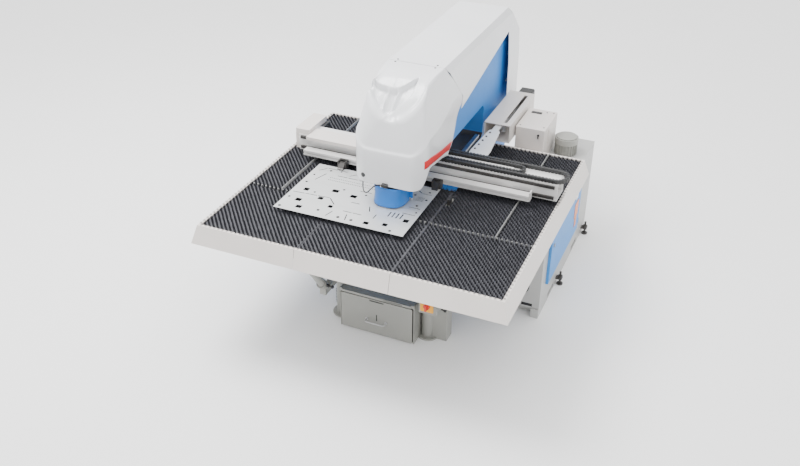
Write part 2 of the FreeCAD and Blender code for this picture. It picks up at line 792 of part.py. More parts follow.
def x_rails():
    rails = []
    for z in (rail_bottom + 6, beam_top - 32):
        rails.append(block((beam_left + 20, beam_right - 20), (beam_front - 14, beam_front + 3), (z + 1, z + 21)))
    return Part.makeCompound(rails)


def clamp_rail():
    """Long extruded rail in front of the beam, with a T-slot and an end bracket."""
    y = (rail_front, rail_front + rail_depth)
    z = (rail_bottom, rail_bottom + rail_height)
    rail = block((-rail_half, rail_half), y, z)
    rail = rail.cut(block((-rail_half - 1, rail_half + 1), (y[0] - 1, y[0] + 6), (z[0] + 16, z[0] + 26)))
    rail = rail.cut(block((-rail_half - 1, rail_half + 1), (y[0] + 5, y[0] + 12), (z[0] + 11, z[0] + 31)))
    runners = []
    low = rail_bottom + 6
    for x in (-560, -150, 260, 670):
        foot = block((x, x + 90), (y[1] - 1, beam_front - 14 - run_gap), (low - 2, low + 24))
        runners.append(foot)
    for runner in runners:
        rail = rail.fuse(runner)
    bracket = block((rail_half - 1, rail_half + 8), (y[0] + 4, y[1] - 4), (z[0] + 2, z[1] + 26))
    return rail.fuse(bracket)


def clamp_bodies():
    """Fixed lower jaw and two cheeks of each clamp, bolted to the rail's front."""
    bodies = []
    for x in clamp_places:
        span = (x - clamp_width / 2, x + clamp_width / 2)
        low = sheet_bottom - run_gap / 3 - jaw_plate
        tongue = block(span, (195, 262), (low, low + jaw_plate))
        back = block(span, (262, rail_front), (low, rail_bottom + 38))
        body = tongue.fuse(back)
        for side in (-1, 1):
            inner = x + side * (clamp_width / 2 - 12)
            xs = sorted((inner, x + side * clamp_width / 2))
            body = body.fuse(block(xs, (226, 263), (sheet_top + 0.6, rail_bottom + 38)))
            body = body.cut(block(xs, (190, 232 + run_gap), (sheet_bottom - 0.05, sheet_top + 0.65)))
        bodies.append(body.cut(rod(5 + fit_gap, (x - 60, *jaw_pivot), (x + 60, *jaw_pivot))))
    return Part.makeCompound(bodies)


def clamp_jaw(x):
    """Upper jaw: a lever on a cross pin, its nose just above the sheet."""
    half = clamp_width / 2 - 12 - run_gap
    tip = sheet_top + 0.1
    outline = [(197, tip), (222, tip), (232, tip + 12), (254, jaw_pivot[1] - 8), (256, jaw_pivot[1] + 12),
               (236, jaw_pivot[1] + 12), (206, tip + 12), (197, tip + 6)]
    lever = side_prism(outline, (x - half, x + half))
    y, z = jaw_pivot
    return lever.fuse(rod(5, (x - clamp_width / 2, y, z), (x + clamp_width / 2, y, z)))


def beam_tray():
    """Light folded tray between the chains on top of the beam."""
    y0 = beam_front + 6
    y_mid = beam_front + beam_depth / 2
    tray = block((-260, beam_right - 4), (y0, y0 + beam_depth - 12), (beam_top, beam_top + 4))
    return tray.fuse(block((-260, 722), (y_mid - 20, y_mid + 20), (beam_top + 3, beam_top + 14)))


def flat_loop(x_low, x_end, y_mid, radius, half, z):
    """A flat U: two straight runs and a half circle, of the given half-thickness."""
    outer = block((x_low, x_end), (y_mid - radius - half, y_mid + radius + half), z)
    outer = outer.fuse(Part.makeCylinder(radius + half, z[1] - z[0], Vector(x_end, y_mid, z[0])))
    inner = block((x_low - 1, x_end), (y_mid - radius + half, y_mid + radius - half), (z[0] - 1, z[1] + 1))
    inner = inner.fuse(Part.makeCylinder(radius - half, z[1] - z[0] + 2, Vector(x_end, y_mid, z[0] - 1)))
    return outer.cut(inner)


def cable_chains():
    """Two cable chains lying on their side in flat loops, on top of the beam."""
    y_mid = beam_front + beam_depth / 2
    z = (beam_top + 4, beam_top + 34)
    outer = flat_loop(-200, 1045, y_mid, y_mid - beam_front - 14, 13, z)
    inner = flat_loop(-150, 760, y_mid, y_mid - beam_front - 47, 11, z)
    return Part.makeCompound([outer, inner])


def end_housing():
    """Cream cap on the beam's left end with its stepped top."""
    x = (beam_left - 30, beam_left + 90)
    cap = block(x, (beam_front + 4, beam_front + 305), (beam_top, beam_top + 42))
    cap = cap.makeFillet(10, edges_along(cap, (0, 0, 1), lambda c: True))
    skirt = block((x[0], beam_left), (beam_front + 8, beam_front + 176), (beam_bottom + 4, beam_top + 2))
    return cap.fuse(skirt)


def beam_top_cover():
    """Folded cover over the beam's left half."""
    cover = block((beam_left + 92, -280), (beam_front - 50, beam_front + 112), (beam_top + 2, beam_top + 12))
    front = block((beam_left + 92, -280), (beam_front - 50, beam_front - 46), (beam_top - 14, beam_top + 4))
    foot = block((beam_left + 92, -280), (beam_front + 10, beam_front + 110), (beam_top, beam_top + 3))
    return cover.fuse(front).fuse(foot)


def x_motor():
    """Servo motor behind the end cap, with its connector block."""
    y = beam_front + beam_depth
    x = beam_left + 30
    body = block((x, x + 90), (y, y + 118), (beam_bottom + 20, beam_top - run_gap))
    body = body.makeFillet(9, edges_along(body, (0, 1, 0), lambda c: True))
    plug = block((x + 95, x + 250), (y, y + 70), (beam_bottom + 40, beam_bottom + 92))
    return body.fuse(plug).fuse(block((x + 80, x + 100), (y, y + 60), (beam_bottom + 45, beam_bottom + 85)))


def y_bracket():
    """Plate from the beam back to the drive, with a tongue and the nut round the screw."""
    z = (drive_top - 22, drive_top - 14)
    rear = beam_front + beam_depth
    outline = [(345, rear), (490, rear), (490, 640), (450, 990), (430, 1000), (430, 1250), (380, 1250), (380, 1000),
               (362, 990), (345, 640)]
    plate = plan_prism(outline, z)
    riser = block((350, 480), (rear, rear + 14), (beam_bottom + 10, z[1]))
    riser = riser.fuse(block((380, 430), (1200, 1250), (screw_z - 34, z[0] + 1)))
    return plate.fuse(riser).cut(rod(screw_radius + fit_gap, (screw_x, 1100, screw_z), (screw_x, 1300, screw_z)))


def bracket_bolts():
    """Five cap screws along the bracket plate's left edge."""
    bolts = []
    for i in range(5):
        y = 640 + 76 * i
        x = 358 + 4.2 * i
        head = Part.makeCylinder(8, 8, Vector(x + 10, y, drive_top - 14))
        bolts.append(head.cut(Part.makeCylinder(4, 5, Vector(x + 10, y, drive_top - 10))))
    return Part.makeCompound(bolts)


def y_drive_housing():
    """Cream box over the screw, open in front, with a slot in its top and a foot to the C-frame."""
    wall = sheet_metal
    box = block((drive_left, drive_right), (drive_front, drive_rear), (drive_bottom, drive_top))
    box = box.cut(block((drive_left + wall, drive_right - wall), (drive_front - 1, drive_rear - wall),
                        (drive_bottom + wall, drive_top - wall)))
    box = box.cut(block((430, 460), (drive_front + 45, drive_rear - 60), (drive_top - 10, drive_top + 1)))
    box = box.cut(rod(12 + fit_gap, (screw_x, drive_rear - 20, screw_z), (screw_x, drive_rear + 1, screw_z)))
    foot = block((frame_half, drive_left + 1), (throat_rear + 40, window_rear - 60), (drive_bottom, drive_bottom + 14))
    return box.fuse(foot)


def y_screw():
    body = rod(screw_radius, (screw_x, drive_front + 6, screw_z), (screw_x, drive_rear - wall_room, screw_z))
    return body.fuse(rod(12, (screw_x, drive_rear - wall_room - 1, screw_z), (screw_x, drive_rear + 6, screw_z)))


def y_motor():
    y = drive_rear
    body = block((screw_x - 60, screw_x + 60), (y, y + 150), (screw_z - 60, screw_z + 60))
    body = body.makeFillet(14, edges_along(body, (0, 1, 0), lambda c: True))
    return body.cut(rod(12 + 2, (screw_x, y - 1, screw_z), (screw_x, y + 20, screw_z)))


def workpiece_sheet():
    """The sheet in the clamps, already cut: rows of slots, squares and round holes."""
    z = (sheet_bottom, sheet_top)
    sheet = block((sheet_left, sheet_left + sheet_width), (sheet_front, sheet_front + sheet_depth), z)
    cuts = [rod(sheet_hole, (0, 0, 990), (0, 0, 1010))]
    for i in range(5):
        y = sheet_front + 395 + 34 * i
        cuts.append(block((-560, -330), (y, y + 9), (990, 1010)))
    for i in range(6):
        for j in range(2):
            cuts.append(block((-640 + 88 * i, -600 + 88 * i), (-430 + 95 * j, -390 + 95 * j), (990, 1010)))
    for i in range(5):
        cuts.append(rod(14, (-250 + 100 * i, -420, 990), (-250 + 100 * i, -420, 1010)))
    for i in range(4):
        cuts.append(block((60 + 44 * i, 74 + 44 * i), (-330, -190), (990, 1010)))
    return sheet.cut(Part.makeCompound(cuts))


# ---------------------------------------------------------------- right rear units

def cabinet():
    """Floor cabinet: folded shell on two welded rails, with a door opening in its right side."""
    shell = block((cab_left, cab_right), (cab_front, cab_rear), (cab_bottom, cab_top))
    shell = shell.cut(block((cab_left + 4, cab_right - 4), (cab_front + 4, cab_rear - 4), (cab_bottom + 4, cab_top - 4)))
    opening = block((cab_right - 30, cab_right + 1), (door_front, door_rear), (door_bottom, door_top))
    shell = shell.cut(opening)
    pins = []
    for z in (door_bottom + 60, door_top - 60):
        pins.append(rod(6, (*door_hinge, z - 22), (*door_hinge, z + 22)))
        pins.append(rod(11, (*door_hinge, z - 46), (*door_hinge, z - 22)))
        pins.append(block((cab_right - 2, door_hinge[0]), (door_hinge[1] + 2, door_hinge[1] + 11), (z - 46, z - 22)))
    for piece in pins:
        shell = shell.fuse(piece)
    return shell.fuse(floor_rails())


def cabinet_door():
    """Blue pan door with two hinge knuckles at the rear."""
    x = (cab_right + run_gap, cab_right + door_thick)
    gap = 2
    door = block(x, (door_front - 8, door_rear + 1), (door_bottom - 8, door_top + 8))
    door = door.makeFillet(5, edges_along(door, (0, 1, 0), lambda c: c.x > cab_right + 5))
    door = door.cut(block((x[0] - 1, x[1] - 2.5), (door_front - 4, door_rear - 3), (door_bottom - 4, door_top + 4)))
    for z in (door_bottom + 60, door_top - 60):
        knuckle = rod(11, (*door_hinge, z - 22 + run_gap), (*door_hinge, z + 22))
        leaf = block((door_hinge[0] - 4, door_hinge[0] + 4), (door_rear - 1, door_hinge[1]), (z - 22 + run_gap, z + 22))
        knuckle = knuckle.fuse(leaf).cut(rod(6 + fit_gap, (*door_hinge, z - 40), (*door_hinge, z + 40)))
        door = door.fuse(knuckle)
    keyhole = rod(10, (x[1] + 1, door_front + 40 + gap, 560), (x[1] - 3, door_front + 40 + gap, 560))
    return door.cut(keyhole)


def door_lock():
    x = cab_right + door_thick
    y = door_front + 42
    body = rod(10 - fit_gap, (x - 2.5, y, 560), (x + 3, y, 560))
    wing = block((x + 2, x + 12), (y - 3, y + 3), (544, 576))
    return body.fuse(wing)


def floor_rails():
    """Two rails below the cabinet, with fork pockets, and two ties to the C-frame's foot."""
    rails = []
    for x in ((cab_left, cab_left + 60), (cab_right - 60, cab_right)):
        rail = block(x, (cab_front - 10, cab_rear), (0, cab_bottom + 1))
        for y in (cab_front + 260, cab_rear - 480):
            rail = rail.cut(block((x[0] - 1, x[1] + 1), (y, y + 170), (18, 62)))
        rails.append(rail)
    tie = block((cab_left + 59, cab_right - 59), (cab_front + 60, cab_front + 110), (10, cab_bottom))
    rails = rails[0].fuse(rails[1]).fuse(tie)
    for y in (cab_front + 60, cab_rear - 300):
        rails = rails.fuse(block((foot_half, cab_left + 1), (y, y + 80), (0, plate_thickness)))
    return rails


def levelling_feet():
    """Side brackets with a jacking stud and pad, along the cabinet's right foot."""
    feet = []
    x = cab_right + 34
    for y in (cab_front + 510, cab_rear - 120):
        arm = block((cab_right, x + 18), (y - 22, y + 22), (52, 66))
        foot = arm.fuse(rod(9, (x, y, 8), (x, y, 118))).fuse(rod(26, (x, y, 0), (x, y, 12)))
        feet.append(foot.fuse(rod(20, (x, y, 66), (x, y, 82))))
    return Part.makeCompound(feet)


def air_box():
    """Cream pneumatics box behind the table, standing on the cabinet."""
    body = block((512, 750), (table_rear + 62, 1600), (cab_top, 1130))
    body = body.makeFillet(8, edges_along(body, (0, 0, 1), lambda c: True))
    slot = block((741, 751), (1330, 1352), (960, 1090))
    return body.cut(slot)


def air_box_latch():
    y = table_rear + 62
    hub = rod(9, (700, y, 1085), (700, y - 5, 1085))
    return hub.fuse(block((696, 704), (y - 12, y - 4), (1058, 1092)))


def pump_motor():
    """Upright motor with a round cowl and cooling ribs, on the cabinet."""
    body = rod(fan_radius - 12, (fan_x, fan_y, cab_top), (fan_x, fan_y, cab_top + 150))
    body = body.fuse(rod(fan_radius, (fan_x, fan_y, cab_top + 96), (fan_x, fan_y, cab_top + 142)))
    for i in range(24):
        rib = block((fan_radius - 16, fan_radius - 3), (-2, 2), (cab_top, cab_top + 97))
        rib.rotate(Vector(0, 0, 0), Vector(0, 0, 1), 15 * i)
        rib.translate(Vector(fan_x, fan_y, 0))
        body = body.fuse(rib)
    return body


makers = [
    c_frame, ram_housing, slug_housing, slug_drawer, drawer_handle, support_columns, table_strut,
    strut_lever, valve_lever, switch_box, switch_plate, switch_knob, table_frame_centre, table_wings,
    brush_front_centre, brush_front_wings, brush_rear_wings, brush_rear_centre, reference_stop, apron_front,
    side_and_rear_aprons, nose_cover, arm_cover, cover_screws, ram, tool_holder, multi_tool, stripper, punch,
    die_holder, guard, guard_hanger, nose_plugs, guard_cable, y_rails, saddle, x_beam, x_rails,
    clamp_rail, clamp_bodies, beam_tray, cable_chains, end_housing, beam_top_cover, x_motor, y_bracket,
    bracket_bolts, y_drive_housing, y_screw, y_motor, workpiece_sheet, cabinet, cabinet_door, door_lock,
    levelling_feet, air_box, air_box_latch, pump_motor,
]
for maker in makers:
    save(maker.__name__, maker())
save("clamp_jaw_left", clamp_jaw(clamp_places[0]))
save("clamp_jaw_right", clamp_jaw(clamp_places[1]))
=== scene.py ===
import math
import bpy
import bmesh
import numpy as np
from mathutils import Matrix, Vector


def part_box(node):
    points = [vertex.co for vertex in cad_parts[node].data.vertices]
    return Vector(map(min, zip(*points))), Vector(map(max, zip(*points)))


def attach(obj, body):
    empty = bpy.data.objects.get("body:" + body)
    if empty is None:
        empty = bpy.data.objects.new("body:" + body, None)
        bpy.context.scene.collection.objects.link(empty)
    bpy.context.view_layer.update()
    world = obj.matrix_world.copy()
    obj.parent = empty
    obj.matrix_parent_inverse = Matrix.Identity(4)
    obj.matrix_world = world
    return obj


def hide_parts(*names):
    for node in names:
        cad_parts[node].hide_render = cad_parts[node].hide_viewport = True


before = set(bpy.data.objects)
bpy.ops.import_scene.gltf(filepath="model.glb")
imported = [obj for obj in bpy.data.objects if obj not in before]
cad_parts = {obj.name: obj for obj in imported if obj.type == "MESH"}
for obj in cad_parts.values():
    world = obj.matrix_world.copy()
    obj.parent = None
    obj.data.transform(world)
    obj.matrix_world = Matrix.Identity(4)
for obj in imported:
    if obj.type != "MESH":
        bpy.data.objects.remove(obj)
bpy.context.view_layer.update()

scene = bpy.context.scene

# camera

cameraSetup = {"place": (2.234, -5.659, 4.190), "turn": 23.36, "down": 32.17, "roll": 0.24, "lens": 40.2}


def makeCamera(setup):
    turn, down, roll = (math.radians(setup[k]) for k in ("turn", "down", "roll"))
    ahead = Vector((-math.sin(turn) * math.cos(down), math.cos(turn) * math.cos(down), -math.sin(down)))
    flatRight = Vector((math.cos(turn), math.sin(turn), 0))
    right = math.cos(roll) * flatRight + math.sin(roll) * flatRight.cross(ahead)
    up = right.cross(ahead)
    camera = bpy.data.objects.new("viewCamera", bpy.data.cameras.new("viewCamera"))
    camera.data.lens, camera.data.sensor_width, camera.data.clip_end = setup["lens"], 36, 60
    camera.matrix_world = Matrix.Translation(setup["place"]) @ Matrix((right, up, -ahead)).transposed().to_4x4()
    scene.collection.objects.link(camera)
    scene.camera = camera


makeCamera(cameraSetup)

# finishes: every finish is noise in object space for tone, gloss and grain

finishSettings = {
    "coverWhite": {"colour": (0.80, 0.81, 0.83), "other": (0.77, 0.78, 0.80), "patch": 2.5, "grain": 260,
                   "bump": 0.012, "rough": (0.20, 0.30), "coat": 0.5},
    "creamPaint": {"colour": (0.70, 0.655, 0.62), "other": (0.67, 0.625, 0.59), "patch": 3, "grain": 420,
                   "bump": 0.03, "rough": (0.34, 0.46), "coat": 0.15},
    # framePaint also carries painted shade: its band height (0.96 m) marks the top of a band of the frame under
    # the table, darkened to near black
    "framePaint": {"colour": (0.035, 0.225, 0.62), "other": (0.04, 0.24, 0.65), "shadedBelow": 0.96,
                   "patch": 3, "grain": 240, "bump": 0.05, "rough": (0.48, 0.60), "coat": 0},
    "doorPaint": {"colour": (0.04, 0.25, 0.64), "other": (0.035, 0.23, 0.60), "patch": 4, "grain": 380,
                  "bump": 0.035, "rough": (0.44, 0.56), "coat": 0.05},
    "greyPaint": {"colour": (0.30, 0.30, 0.275), "other": (0.275, 0.275, 0.255), "patch": 4, "grain": 380,
                  "bump": 0.04, "rough": (0.40, 0.52), "coat": 0.1},
    "lightGrey": {"colour": (0.42, 0.42, 0.41), "other": (0.39, 0.39, 0.38), "patch": 4, "grain": 380,
                  "bump": 0.04, "rough": (0.38, 0.5), "coat": 0.1},
    "brushBed": {"colour": (0.062, 0.062, 0.072), "other": (0.045, 0.045, 0.053), "patch": 14, "grain": 300,
                 "bump": 0.08, "rough": (0.5, 0.65), "coat": 0},
    "bristle": {"colour": (0.022, 0.024, 0.029), "other": (0.05, 0.051, 0.06), "patch": 90, "grain": 900,
                "bump": 0.1, "rough": (0.35, 0.5), "coat": 0},
    "groundSteel": {"colour": (0.62, 0.62, 0.63), "other": (0.52, 0.52, 0.53), "patch": 6, "grain": 60,
                    "bump": 0.05, "rough": (0.22, 0.38), "metal": 1, "stretch": (1, 14, 1)},
    "darkSteel": {"colour": (0.05, 0.048, 0.047), "other": (0.09, 0.085, 0.082), "patch": 12, "grain": 220,
                  "bump": 0.06, "rough": (0.32, 0.48), "metal": 0.6},
    "extrusion": {"colour": (0.80, 0.79, 0.775), "other": (0.72, 0.71, 0.70), "patch": 5, "grain": 90,
                  "bump": 0.05, "rough": (0.34, 0.46), "metal": 0.3, "stretch": (0.04, 1, 1)},
    "sheetSteel": {"colour": (0.72, 0.73, 0.73), "other": (0.63, 0.64, 0.64), "patch": 5, "grain": 110,
                   "bump": 0.03, "rough": (0.30, 0.42), "metal": 0.55, "stretch": (0.05, 1, 1)},
    "blackPlastic": {"colour": (0.016, 0.016, 0.017), "other": (0.026, 0.026, 0.027), "patch": 20,
                     "grain": 700, "bump": 0.12, "rough": (0.38, 0.5)},
    "blackRubber": {"colour": (0.010, 0.010, 0.010), "other": (0.018, 0.018, 0.018), "patch": 60,
                    "grain": 900, "bump": 0.1, "rough": (0.55, 0.7)},
    "switchYellow": {"colour": (0.90, 0.42, 0.015), "other": (0.86, 0.39, 0.015), "patch": 30, "grain": 500,
                     "bump": 0.03, "rough": (0.28, 0.38), "coat": 0.2},
    "switchRed": {"colour": (0.72, 0.035, 0.02), "other": (0.66, 0.03, 0.018), "patch": 30, "grain": 500,
                  "bump": 0.03, "rough": (0.26, 0.36), "coat": 0.2},
    "bandRed": {"colour": (0.64, 0.012, 0.018), "other": (0.60, 0.011, 0.016), "patch": 8, "grain": 420,
                "bump": 0.012, "rough": (0.42, 0.5), "coat": 0.05},
    "guardBlue": {"colour": (0.006, 0.15, 0.52), "other": (0.006, 0.14, 0.49), "patch": 10, "grain": 500,
                  "bump": 0.04, "rough": (0.36, 0.46), "coat": 0.1},
    "orangePaint": {"colour": (0.85, 0.20, 0.02), "other": (0.78, 0.18, 0.02), "patch": 10, "grain": 420,
                    "bump": 0.03, "rough": (0.35, 0.45), "coat": 0.1},
    "lampGlass": {"colour": (0.62, 0.66, 0.66), "other": (0.55, 0.6, 0.6), "patch": 60, "grain": 500,
                  "bump": 0.02, "rough": (0.12, 0.2), "coat": 0.5},
    # near black, painted shade put in place of openings: slots, holes and the fan grille's gaps
    "hollowShade": {"colour": (0.008, 0.008, 0.009), "other": (0.013, 0.013, 0.014), "patch": 30, "grain": 300,
                   "bump": 0.05, "rough": (0.6, 0.75)},
    "floorPaper": {"colour": (0.93, 0.932, 0.93), "other": (0.92, 0.922, 0.92), "patch": 1, "grain": 90,
                   "bump": 0.004, "rough": (0.6, 0.7)},
}


def makeFinish(name, setup):
    material = bpy.data.materials.new(name)
    material.use_nodes = True
    nodes, links = material.node_tree.nodes, material.node_tree.links
    shader = nodes["Principled BSDF"]
    shader.inputs["Metallic"].default_value = setup.get("metal", 0)
    shader.inputs["Coat Weight"].default_value = setup.get("coat", 0)
    shader.inputs["Coat Roughness"].default_value = 0.12
    coordinates = nodes.new("ShaderNodeTexCoord")
    mapping = nodes.new("ShaderNodeMapping")
    mapping.inputs["Scale"].default_value = setup.get("stretch", (1, 1, 1))
    links.new(coordinates.outputs["Object"], mapping.inputs["Vector"])

    def noise(scale, detail):
        node = nodes.new("ShaderNodeTexNoise")
        node.inputs["Scale"].default_value, node.inputs["Detail"].default_value = scale, detail
        links.new(mapping.outputs["Vector"], node.inputs["Vector"])
        return node.outputs["Fac"]

    tone = nodes.new("ShaderNodeMix")
    tone.data_type = "RGBA"
    tone.inputs["A"].default_value = (*setup["colour"], 1)
    tone.inputs["B"].default_value = (*setup["other"], 1)
    spread = nodes.new("ShaderNodeMapRange")
    spread.inputs["From Min"].default_value, spread.inputs["From Max"].default_value = 0.35, 0.65
    links.new(noise(setup["patch"], 5), spread.inputs["Value"])
    links.new(spread.outputs["Result"], tone.inputs["Factor"])
    colour = tone.outputs["Result"]
    if "shadedBelow" in setup:  # painted shade: a band of the frame just under the table and saddle is darkened to near black, where shade falls
        split = nodes.new("ShaderNodeSeparateXYZ")
        links.new(coordinates.outputs["Object"], split.inputs["Vector"])
        zones = []
        across = nodes.new("ShaderNodeMath")
        across.operation = "ABSOLUTE"
        links.new(split.outputs["X"], across.inputs[0])
        height, length = split.outputs["Z"], split.outputs["Y"]
        spans = ((height, setup["shadedBelow"] + 0.006, setup["shadedBelow"]), (height, 0.86, 0.866),
                 (length, -0.27, -0.264), (length, 0.766, 0.762), (across.outputs["Value"], 0.1996, 0.199))
        for source, start, end in spans:
            zone = nodes.new("ShaderNodeMapRange")
            zone.inputs["From Min"].default_value, zone.inputs["From Max"].default_value = start, end
            links.new(source, zone.inputs["Value"])
            zones.append(zone.outputs["Result"])
        while len(zones) > 1:
            both = nodes.new("ShaderNodeMath")
            both.operation = "MULTIPLY"
            links.new(zones.pop(), both.inputs[0])
            links.new(zones.pop(), both.inputs[1])
            zones.append(both.outputs["Value"])
        shadeMix = nodes.new("ShaderNodeMix")
        shadeMix.data_type = "RGBA"
        shadeMix.inputs["B"].default_value = (0.03, 0.03, 0.033, 1)
        links.new(colour, shadeMix.inputs["A"])
        links.new(zones[0], shadeMix.inputs["Factor"])
        colour = shadeMix.outputs["Result"]
    links.new(colour, shader.inputs["Base Color"])
    gloss = nodes.new("ShaderNodeMapRange")
    gloss.inputs["To Min"].default_value, gloss.inputs["To Max"].default_value = setup["rough"]
    links.new(noise(setup["patch"] * 6, 4), gloss.inputs["Value"])
    links.new(gloss.outputs["Result"], shader.inputs["Roughness"])
    bump = nodes.new("ShaderNodeBump")
    bump.inputs["Strength"].default_value, bump.inputs["Distance"].default_value = setup["bump"], 0.002
    links.new(noise(setup["grain"], 3), bump.inputs["Height"])
    links.new(bump.outputs["Normal"], shader.inputs["Normal"])
    return material


finish = {name: makeFinish(name, setup) for name, setup in finishSettings.items()}
print("finishes", len(finish))

# shapes: each is (points, quads, triangles), all worked out as whole arrays

toolY = (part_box("punch")[0].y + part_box("punch")[1].y) / 2


# Millimetres from the tool's axis and the floor, as metres in the frame: x/1000, y/1000 + toolY, z/1000.
def inFrame(points):
    return np.asarray(points, float) / 1000 + (0, toolY, 0)


noQuads, noTriangles = np.zeros((0, 4), int), np.zeros((0, 3), int)


# Several shapes as one: their points in a row, with each one's faces counted on.
def together(shapes):
    points, quads, triangles, count = [], [noQuads], [noTriangles], 0
    for shape in shapes:
        points.append(shape[0])
        quads.append(shape[1] + count)
        triangles.append(shape[2] + count)
        count += len(shape[0])
    return np.concatenate(points), np.concatenate(quads), np.concatenate(triangles)


# A rows x columns grid of points as quads between neighbours, the last column joined to the first if closed.
def surface(grid, closeAcross=False):
    rows, columns = grid.shape[:2]
    i, j = np.meshgrid(np.arange(rows - 1), np.arange(columns if closeAcross else columns - 1), indexing="ij")
    i, j, k = i.ravel(), j.ravel(), ((j + 1) % columns).ravel()
    quads = np.stack([i * columns + j, i * columns + k, (i + 1) * columns + k, (i + 1) * columns + j], 1)
    return grid.reshape(-1, 3), quads, noTriangles


# A turned piece: radius and height pairs swung about the axis, x = r cos a, y = r sin a, z = h,
# then laid along it.
def turned(profile, centre, along=(0, 0, 1), steps=24):
    profile = np.asarray(profile, float)
    angle = np.linspace(0, 2 * math.pi, steps, endpoint=False)
    along = np.asarray(along, float) / np.linalg.norm(along)
    side = np.cross(along, (0, 0, 1) if abs(along[2]) < 0.9 else (0, 1, 0))
    side /= np.linalg.norm(side)
    other = np.cross(along, side)
    ring = np.cos(angle)[None, :, None] * side + np.sin(angle)[None, :, None] * other
    grid = np.asarray(centre, float) + profile[:, 0, None, None] * ring + profile[:, 1, None, None] * along
    return surface(grid, True)


# Boxes with chamfered edges. Each corner has one point on each of its three faces, drawn in by the chamfer.
def blocks(spans, edge=2.0):
    spans = np.asarray(spans, float).reshape(-1, 6)
    middle = (spans[:, 0::2] + spans[:, 1::2]) / 2
    half = np.abs(spans[:, 1::2] - spans[:, 0::2]) / 2
    signs = np.array([(a, b, c) for a in (-1, 1) for b in (-1, 1) for c in (-1, 1)], float)
    cut = np.minimum(edge, half.min(1) * 0.9)[:, None, None, None]
    onFace = 1 - np.eye(3)
    points = middle[:, None, None] + signs[None, :, None] * (half[:, None, None] - cut * onFace[None, None])
    quads, triangles = [], []
    index = {tuple(s): 3 * i for i, s in enumerate(signs.astype(int).tolist())}
    for a in range(3):
        b, c = (a + 1) % 3, (a + 2) % 3
        for s in (-1, 1):
            loop = []
            for u, v in ((-1, -1), (1, -1), (1, 1), (-1, 1)):
                corner = [0, 0, 0]
                corner[a], corner[b], corner[c] = s, u, v
                loop.append(index[tuple(corner)] + a)
            quads.append(loop[::s])
        for u in (-1, 1):
            for v in (-1, 1):
                near, far = [0, 0, 0], [0, 0, 0]
                near[a], near[b], near[c] = -1, u, v
                far[a], far[b], far[c] = 1, u, v
                near, far = index[tuple(near)], index[tuple(far)]
                quads.append([near + b, far + b, far + c, near + c][::u * v])
    for s in signs.astype(int).tolist():
        base = index[tuple(s)]
        triangles.append([base, base + 1, base + 2][::s[0] * s[1] * s[2]])
    step = np.arange(len(spans))[:, None, None] * 24
    quads, triangles = np.array(quads)[None] + step, np.array(triangles)[None] + step
    return points.reshape(-1, 3), quads.reshape(-1, 4), triangles.reshape(-1, 3)


# A finished piece: its mesh filled from the arrays, doubles merged, faces turned outwards, smooth up
# to an angle.
def piece(name, shape, material, body, stands=(), tidy=True, sharp=35, wall=0.0):
    points, quads, triangles = shape
    mesh = bpy.data.meshes.new(name)
    mesh.vertices.add(len(points))
    mesh.vertices.foreach_set("co", inFrame(points).astype(np.float32).ravel())
    corners = np.concatenate([quads.ravel(), triangles.ravel()]).astype(np.int32)
    sizes = np.concatenate([np.full(len(quads), 4), np.full(len(triangles), 3)])
    starts = (np.cumsum(sizes) - sizes).astype(np.int32)
    mesh.loops.add(len(corners))
    mesh.loops.foreach_set("vertex_index", corners)
    mesh.polygons.add(len(sizes))
    mesh.polygons.foreach_set("loop_start", starts)
    mesh.update(calc_edges=True)
    mesh.validate()
    if tidy:
        work = bmesh.new()
        work.from_mesh(mesh)
        bmesh.ops.remove_doubles(work, verts=work.verts, dist=2e-5)
        bmesh.ops.dissolve_degenerate(work, edges=work.edges, dist=1e-6)
        bmesh.ops.recalc_face_normals(work, faces=work.faces)
        work.to_mesh(mesh)
        work.free()
    mesh.shade_smooth()
    mesh.set_sharp_from_angle(angle=math.radians(sharp))
    mesh.materials.append(finish[material])
    thing = bpy.data.objects.new(name, mesh)
    scene.collection.objects.link(thing)
    if wall:
        shell = thing.modifiers.new("wall", "SOLIDIFY")
        shell.thickness, shell.offset, shell.use_even_offset = wall, -1, True
    if stands:
        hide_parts(*stands)
    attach(thing, body)
    return thing


# A round bar with softened rims between two points.
def bar(radius, start, end, steps=20, round=0.8):
    start, end = np.asarray(start, float), np.asarray(end, float)
    reach = np.linalg.norm(end - start)
    soft = min(round, radius * 0.4, reach * 0.3)
    inside, top = radius - soft, reach - soft
    profile = [(0, 0), (inside, 0), (radius, soft), (radius, top), (inside, reach), (0, reach)]
    return turned(profile, start, end - start, steps)


# A socket screw's head: turned outline with the socket's sunk middle.
def capScrew(centre, along, radius, height):
    r, h = radius, height
    profile = [(0, h * 0.4), (r * 0.48, h * 0.4), (r * 0.52, h), (r * 0.85, h), (r, h * 0.82), (r, 0), (0, 0)]
    return turned(profile, centre, along, 14)


# sensor lead

leadSettings = {"radius": 4.0, "length": 0.372, "route": [
    (-192, -119.3, 1290), (-192, -119.6, 1230), (-192, -127, 1170), (-186, -150, 1120), (-160, -186, 1100),
    (-126, -206, 1112), (-100, -200, 1146), (-72, -163.5, 1170), (-34, -163.5, 1170)]}


def makeLead(setup):
    curve = bpy.data.curves.new("sensorLead", "CURVE")
    curve.dimensions = "3D"
    curve.bevel_depth, curve.bevel_resolution, curve.resolution_u = setup["radius"] / 1000, 5, 16
    curve.use_fill_caps = True
    line = curve.splines.new("NURBS")
    route = inFrame(setup["route"])
    line.points.add(len(route) - 1)
    line.points.foreach_set("co", np.c_[route, np.ones(len(route))].ravel())
    line.order_u = 3
    line.use_endpoint_u = True
    curve.materials.append(finish["blackRubber"])
    lead = bpy.data.objects.new("sensorLead", curve)
    scene.collection.objects.link(lead)
    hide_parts("guard_cable")
    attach(lead, "machine_frame")
    print("sensor lead")


makeLead(leadSettings)

# brush table

